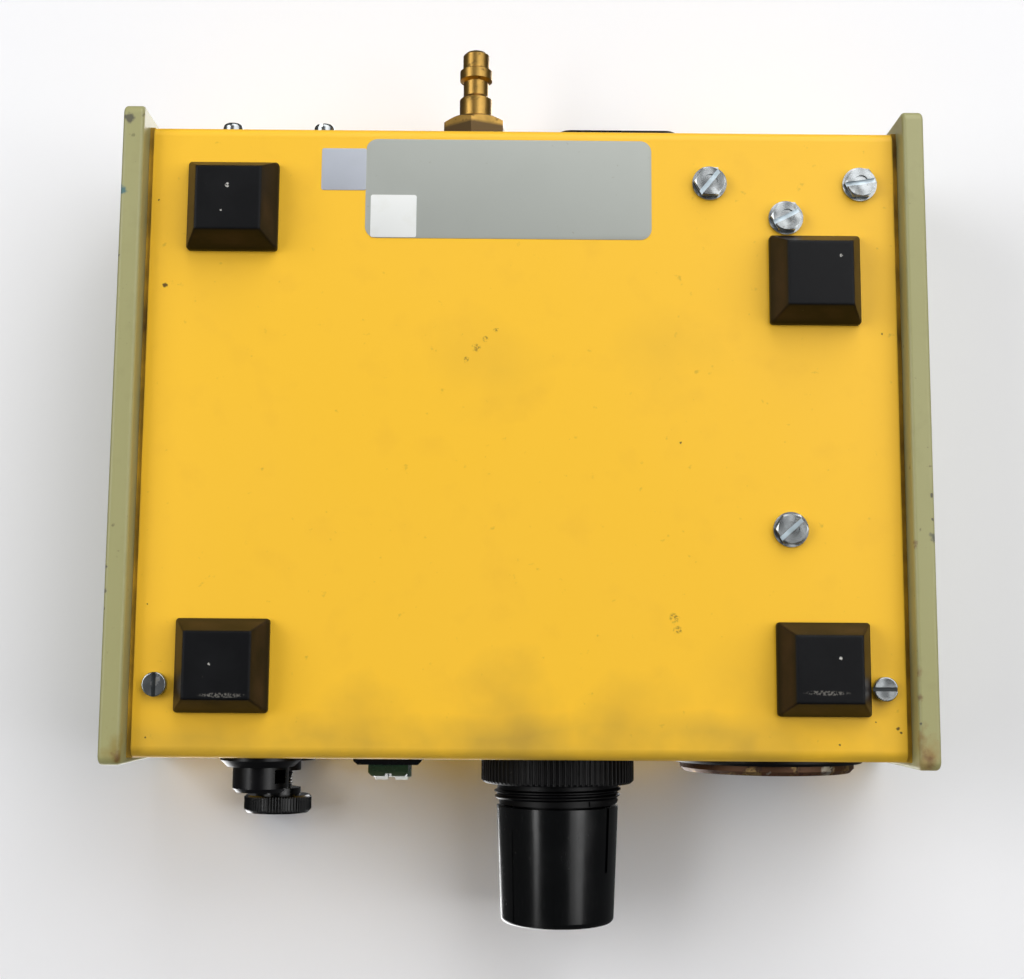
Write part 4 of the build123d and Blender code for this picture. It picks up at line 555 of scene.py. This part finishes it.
def film(name, low, high, radius, under_mm, material):
    """A bare sticker on the base, with a rim that thins towards its edge."""
    mesh = bmesh.new()
    outline = rounded_outline(low, high, radius)
    middle = ((low[0] + high[0]) / 2, (low[1] + high[1]) / 2)
    shrink = [1 - FILM_RIM / (high[i] - low[i]) * 2 for i in (0, 1)]
    inner = [(middle[0] + (x - middle[0]) * shrink[0], middle[1] + (y - middle[1]) * shrink[1])
             for x, y in outline]
    heights = (base_z - under_mm, base_z - under_mm - FILM * 0.6, base_z - under_mm - FILM)
    rings = [[mesh.verts.new((x * MM, y * MM, z * MM)) for x, y in points]
             for points, z in zip((outline, outline, inner), heights)]
    count = len(outline)
    for below, above in zip(rings, rings[1:]):
        for i in range(count):
            mesh.faces.new((below[i], below[(i + 1) % count], above[(i + 1) % count], above[i]))
    mesh.faces.new(rings[0])
    mesh.faces.new(rings[-1])
    return piece(name, mesh, material, "case")


silver_foil = finish("silver_label_foil", "A6AAA4", 0.50, Metallic=0.1)
relief(silver_foil, 0.35, 0.006, stretch=(1, 4, 1))
lay(silver_foil, patches(silver_foil, 14, 0.48, 0.3, most=0.4), "A0A49E", 0.45)
lay(silver_foil, patches(silver_foil, 1.5, 0.70, 0.05, most=0.5), "8A8672", 0.7)
blue_foil = finish("blue_grey_label_foil", "B0B5BF", 0.50, Metallic=0.1)
relief(blue_foil, 0.35, 0.006, stretch=(1, 4, 1))
lay(blue_foil, patches(blue_foil, 6, 0.48, 0.3, most=0.4), "A8ADB4", 0.5)
white_paper = finish("white_sticker_paper", "E4E6E4", 0.5)
relief(white_paper, 0.3, 0.006)
lay(white_paper, patches(white_paper, 5, 0.52, 0.2, most=0.3), "D3D3C8", 0.6)
film("label_square", (36.05, 63.0), (46.3, 72.9), 0.5, 0.0, blue_foil)
film("label_plate", (-29.4, 51.8), (36.1, 75.2), 2.6, 0.0, silver_foil)
film("label_sticker", (24.4, 51.9), (34.9, 61.9), 0.5, FILM, white_paper)

# %% [markdown]
# Threads
# The regulator's neck has a coarse thread that its nut runs on, and the vacuum control's stem has
# a fine one. A texture could draw the lines, but the toothed edge that the photograph shows
# against the light needs real ridges, so each ridge is swept along its helix.

# %% Threads as swept ridges
STEPS_PER_TURN = 72
ROOT = 0.2
ROOT_SIDE = 0.44
CREST_SIDE = 0.08


def thread(name, centre, radius, height, pitch, start_y, end_y, material, body, fade=0.0):
    """A pointed ridge wound round an axis that runs along Y. All sizes are in millimetres.

    Its root reaches a little into the shaft. The widths of root and crest are shares of the pitch.
    """
    mesh = bmesh.new()
    turns = abs(end_y - start_y) / pitch - 0.9
    way = math.copysign(1, end_y - start_y)
    rows = []
    for step in range(int(turns * STEPS_PER_TURN) + 1):
        share = step / (turns * STEPS_PER_TURN)
        angle = 2 * math.pi * step / STEPS_PER_TURN
        run_out = min(1.0, share * turns * 4, (1 - share) * turns * 2)
        crest = radius + height * run_out * (1 - fade * share)
        middle = start_y + way * pitch * (0.45 + step / STEPS_PER_TURN)
        profile = ((radius - ROOT, -ROOT_SIDE), (radius, -ROOT_SIDE), (crest, -CREST_SIDE),
                   (crest, CREST_SIDE), (radius, ROOT_SIDE), (radius - ROOT, ROOT_SIDE))
        rows.append([mesh.verts.new(((centre[0] + r * math.cos(angle)) * MM, (middle + pitch * side) * MM,
                                     (centre[1] + r * math.sin(angle)) * MM)) for r, side in profile])
    for first, second in zip(rows, rows[1:]):
        for i in range(len(first)):
            j = (i + 1) % len(first)
            mesh.faces.new((first[i], first[j], second[j], second[i]))
    mesh.faces.new(rows[0])
    mesh.faces.new(rows[-1])
    return piece(name, mesh, material, body)


def axis_of(node):
    """Where a round piece's axis crosses X and Z, in millimetres."""
    low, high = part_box(node)
    return (low.x + high.x) / 2 / MM, (low.z + high.z) / 2 / MM


ring_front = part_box("regulator_ring_nut")[0].y / MM
knob_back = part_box("regulator_knob")[1].y / MM
thread("bonnet_thread", axis_of("regulator_bonnet"), 14.05, 0.85, 1.27, ring_front - 0.16, knob_back + 0.65,
       black_nylon, "case", fade=0.35)
thread("vacuum_thread", axis_of("vacuum_bush"), 3.18, 0.27, 0.75, -70.4, -74.5,
       gloss_phenolic, "case")

# %% [markdown]
# The dial's scale
# Ink on white enamel: eleven long ticks, short ones between, and the numbers. Text objects give
# clean numbers at any size, and thin wedges give the ticks. A tick is given by the radius where it
# starts and half its width in degrees. All lie a twentieth of a millimetre proud of the dial, as
# screen-printed ink does, only thicker.

# %% Scale and numbers
dial_x, dial_z = axis_of("gauge_dial")
dial_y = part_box("gauge_dial")[0].y / MM
INK = 0.05
ZERO_ANGLE = 225.0
SWEEP = 270.0
TICKS = 50
LONG_TICK = (12.6, 0.9)
SHORT_TICK = (13.6, 0.35)
TICK_END = 15.0
NUMBER_RADIUS = 10.4
NUMBER_SIZE = 3.0
printed_ink = finish("black_printed_ink", "101010", 0.45)
lay(printed_ink, patches(printed_ink, 0.6, 0.55, 0.1, most=0.3), "2C2C2C", 0.55)


def on_dial(radius, angle, y):
    """A point on the dial, by its distance from the middle and its angle."""
    turn = math.radians(angle)
    return ((dial_x + radius * math.cos(turn)) * MM, y * MM, (dial_z + radius * math.sin(turn)) * MM)


scale = bmesh.new()
for tick in range(TICKS + 1):
    angle = ZERO_ANGLE - SWEEP * tick / TICKS
    inner, half = LONG_TICK if tick % 5 == 0 else SHORT_TICK
    sides = (angle - half, angle + half)
    corners = [(inner, sides[0]), (TICK_END, sides[0]), (TICK_END, sides[1]), (inner, sides[1])]
    back = [scale.verts.new(on_dial(r, a, dial_y)) for r, a in corners]
    front = [scale.verts.new(on_dial(r, a, dial_y - INK)) for r, a in corners]
    scale.faces.new(back)
    scale.faces.new(front)
    for i in range(4):
        scale.faces.new((back[i], back[(i + 1) % 4], front[(i + 1) % 4], front[i]))
piece("gauge_scale", scale, printed_ink, "case")

for value in range(0, 101, 20):
    text = bpy.data.curves.new(f"gauge_number_{value}", "FONT")
    text.body = str(value)
    text.size = NUMBER_SIZE * MM
    text.extrude = INK / 2 * MM
    text.align_x = "CENTER"
    text.align_y = "CENTER"
    text.materials.append(printed_ink)
    number = bpy.data.objects.new(f"gauge_number_{value}", text)
    number.location = on_dial(NUMBER_RADIUS, ZERO_ANGLE - SWEEP * value / 100, dial_y - INK / 2)
    number.rotation_euler = (math.radians(90), 0, 0)
    bpy.context.scene.collection.objects.link(number)
    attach(number, "case")

# %% [markdown]
# The table and the floor
# The unit lies on its top on a white table, seen from above the table. In the model's own frame
# that puts the camera below, looking up. Turning the object would break its frame, so the stage is
# turned instead: a table above the object that shows only its underside, and a floor below it
# that shows only its top. Each view then sees one of them. The table lies a little lower than the
# object's top, so that a camera near the horizon looks over it. The floor's rim rises to a round
# wall, and both glow a little far from the object, so the room looks lit all round.
# Right under the case the floor is painted dark: a painted shadow.

# %% Stage
TABLE_Z = 53.5
TABLE_HALF = 0.3
FLOOR_SIZE = 6.0
NEAR_GLOW = 0.25
FAR_GLOW = 1.9
GLOW = 0.64
# The colour of the painted shadow on the floor under the case.
PAINTED_SHADOW_COLOUR = "4C4B4A"


def under_case(material, place):
    """A mask of the floor right under the case, where a shadow is painted on, as hardly any light gets in.
    """
    low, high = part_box("base_pan")
    offset = add(material, "VectorMath", {"operation": "SUBTRACT", 1: (low + high) / 2}, {0: place})
    share = add(material, "VectorMath", {"operation": "DIVIDE", 1: (high - low) / 2}, {0: offset.outputs[0]})
    size = add(material, "VectorMath", {"operation": "ABSOLUTE"}, {0: share.outputs[0]})
    split = add(material, "SeparateXYZ", {}, {"Vector": size.outputs[0]})
    edge = add(material, "Math", {"operation": "MAXIMUM"}, {0: split.outputs["X"], 1: split.outputs["Y"]})
    fall = {"interpolation_type": "SMOOTHSTEP", "From Min": 1.16, "From Max": 0.92}
    return add(material, "MapRange", fall, {"Value": edge.outputs[0]}).outputs[0]


def one_sided(name, colour, glows):
    """A matt stage finish that is clear from behind. It may glow far from the object, as a lit wall, and
    then carries a painted shadow under the case.
    """
    material = bpy.data.materials.new(name)
    material.use_nodes = True
    material.node_tree.nodes.clear()
    paper = add(material, "BsdfDiffuse", {"Color": linear(colour)}).outputs[0]
    if glows:
        place = add(material, "TexCoord").outputs["Object"]
        kind, low, high, out = MIX_COLOUR
        shaded = add(material, "Mix", {"data_type": kind, low: linear(colour), high: linear(PAINTED_SHADOW_COLOUR)},
                     {0: under_case(material, place)})
        material.node_tree.links.new(shaded.outputs[out], paper.node.inputs["Color"])
        far = add(material, "VectorMath", {"operation": "LENGTH"}, {0: place}).outputs["Value"]
        share = add(material, "MapRange", {"From Min": NEAR_GLOW, "From Max": FAR_GLOW, "To Max": GLOW},
                    {"Value": far})
        light = add(material, "Emission", {"Color": linear("F4F5F7")}, {"Strength": share.outputs[0]})
        paper = add(material, "AddShader", {}, {0: paper, 1: light.outputs[0]}).outputs[0]
    clear = add(material, "BsdfTransparent")
    side = add(material, "NewGeometry").outputs["Backfacing"]
    mix = add(material, "MixShader", {}, {0: side, 1: paper, 2: clear.outputs[0]})
    add(material, "OutputMaterial", {}, {"Surface": mix.outputs[0]})
    material.cycles.emission_sampling = "NONE"
    return material


def stage_piece(name, mesh, material):
    """A part of the stage that neither shades nor lights the object."""
    data = bpy.data.meshes.new(name)
    mesh.to_mesh(data)
    mesh.free()
    data.materials.append(material)
    part = bpy.data.objects.new(name, data)
    part.visible_shadow = False
    part.visible_diffuse = False
    part.visible_glossy = False
    part.visible_transmission = False
    bpy.context.scene.collection.objects.link(part)
    return part


table_mesh = bmesh.new()
bmesh.ops.create_grid(table_mesh, x_segments=1, y_segments=1, size=TABLE_HALF)
table = stage_piece("table", table_mesh, one_sided("table_paper", "F4F4F6", False))
table.location = (0, 0, TABLE_Z * MM)
table.rotation_euler = (math.pi, 0, 0)
room_mesh = bmesh.new()
bmesh.ops.create_circle(room_mesh, cap_ends=True, segments=96, radius=FLOOR_SIZE / 2)
rim_edges = [edge for edge in room_mesh.edges if edge.is_boundary]
walls = bmesh.ops.extrude_edge_only(room_mesh, edges=rim_edges)
wall_tops = [part for part in walls["geom"] if isinstance(part, bmesh.types.BMVert)]
bmesh.ops.translate(room_mesh, verts=wall_tops, vec=(0, 0, FLOOR_SIZE))
bmesh.ops.recalc_face_normals(room_mesh, faces=room_mesh.faces)
if max(room_mesh.faces, key=lambda face: len(face.verts)).normal.z < 0:
    bmesh.ops.reverse_faces(room_mesh, faces=room_mesh.faces)
room = stage_piece("floor", room_mesh, one_sided("floor_paper", "E9E9EA", True))
room.location = (0, 0, cad_low.z)
print("table at", TABLE_Z, "mm, room", FLOOR_SIZE, "m wide")

# %% [markdown]
# Light
# The photograph has soft light from everywhere and a shadow that falls to the front, as from big
# softboxes round the far side of a table. Small lamps would give hard shadows, so three lights are
# as large as a window. Two narrow strips draw the bright lines along the black knob. The last
# three lights are for views of the other sides.

# %% Lights and world
def softbox(name, place, size, watts, shines=True):
    """A large soft light that looks at the object. Without its shine, no surface mirrors it."""
    light = bpy.data.lights.new(name, "AREA")
    light.shape = "SQUARE"
    light.size = size
    light.energy = watts
    lamp = bpy.data.objects.new(name, light)
    lamp.location = place
    lamp.rotation_euler = (-Vector(place)).to_track_quat("-Z", "Y").to_euler()
    lamp.visible_camera = False
    lamp.visible_glossy = shines
    bpy.context.scene.collection.objects.link(lamp)


softbox("softbox_base_left", (1.00, 0.30, -0.85), 0.8, 8.3)
softbox("softbox_base_right", (-1.00, 0.35, -1.05), 1.5, 13.8)
softbox("softbox_base_far", (-0.30, 1.20, -0.85), 1.2, 12.1)
softbox("strip_base_left", (0.85, -0.25, -0.88), 0.20, 0.75)
softbox("strip_base_right", (-0.85, -0.25, -0.88), 0.35, 0.8)
softbox("softbox_top_front", (0.4, -0.7, 1.2), 0.8, 9.0)
softbox("softbox_top_back", (-0.4, 0.6, 1.2), 0.8, 9.0)
softbox("softbox_front", (0.2, -1.3, 0.45), 0.9, 9.0, shines=False)
world = bpy.data.worlds.new("pale_room")
world.use_nodes = True
room_light = world.node_tree.nodes["Background"]
room_light.inputs["Color"].default_value = linear("F2F3F5")
room_light.inputs["Strength"].default_value = 0.10
bpy.context.scene.world = world
bpy.context.scene.view_settings.view_transform = "Standard"
print("lights", len(bpy.data.lights))

# %% [markdown]
# The camera
# Its place was worked out from the photograph: a normal lens about 33 cm under the base, tipped a
# little towards the front. The three directions below are the picture's right, down and forward
# as seen in the object's frame.

# %% Camera
CAMERA_MM = Vector((3.572, -46.220, -316.004))
PICTURE_RIGHT = Vector((-0.999962, 0.006943, -0.005409))
PICTURE_DOWN = Vector((-0.007559, -0.992292, 0.123692))
FORWARD = Vector((-0.004508, 0.123728, 0.992306))
SENSOR_WIDTH = 36
FOCAL_LENGTH = 51.297
lens = bpy.data.cameras.new("camera")
lens.sensor_width = SENSOR_WIDTH
lens.lens = FOCAL_LENGTH
camera = bpy.data.objects.new("camera", lens)
turn = Matrix((PICTURE_RIGHT, -PICTURE_DOWN, -FORWARD)).transposed()
camera.matrix_world = Matrix.Translation(CAMERA_MM * MM) @ turn.to_4x4()
bpy.context.scene.collection.objects.link(camera)
bpy.context.scene.camera = camera
print("camera at", [round(c, 1) for c in CAMERA_MM])
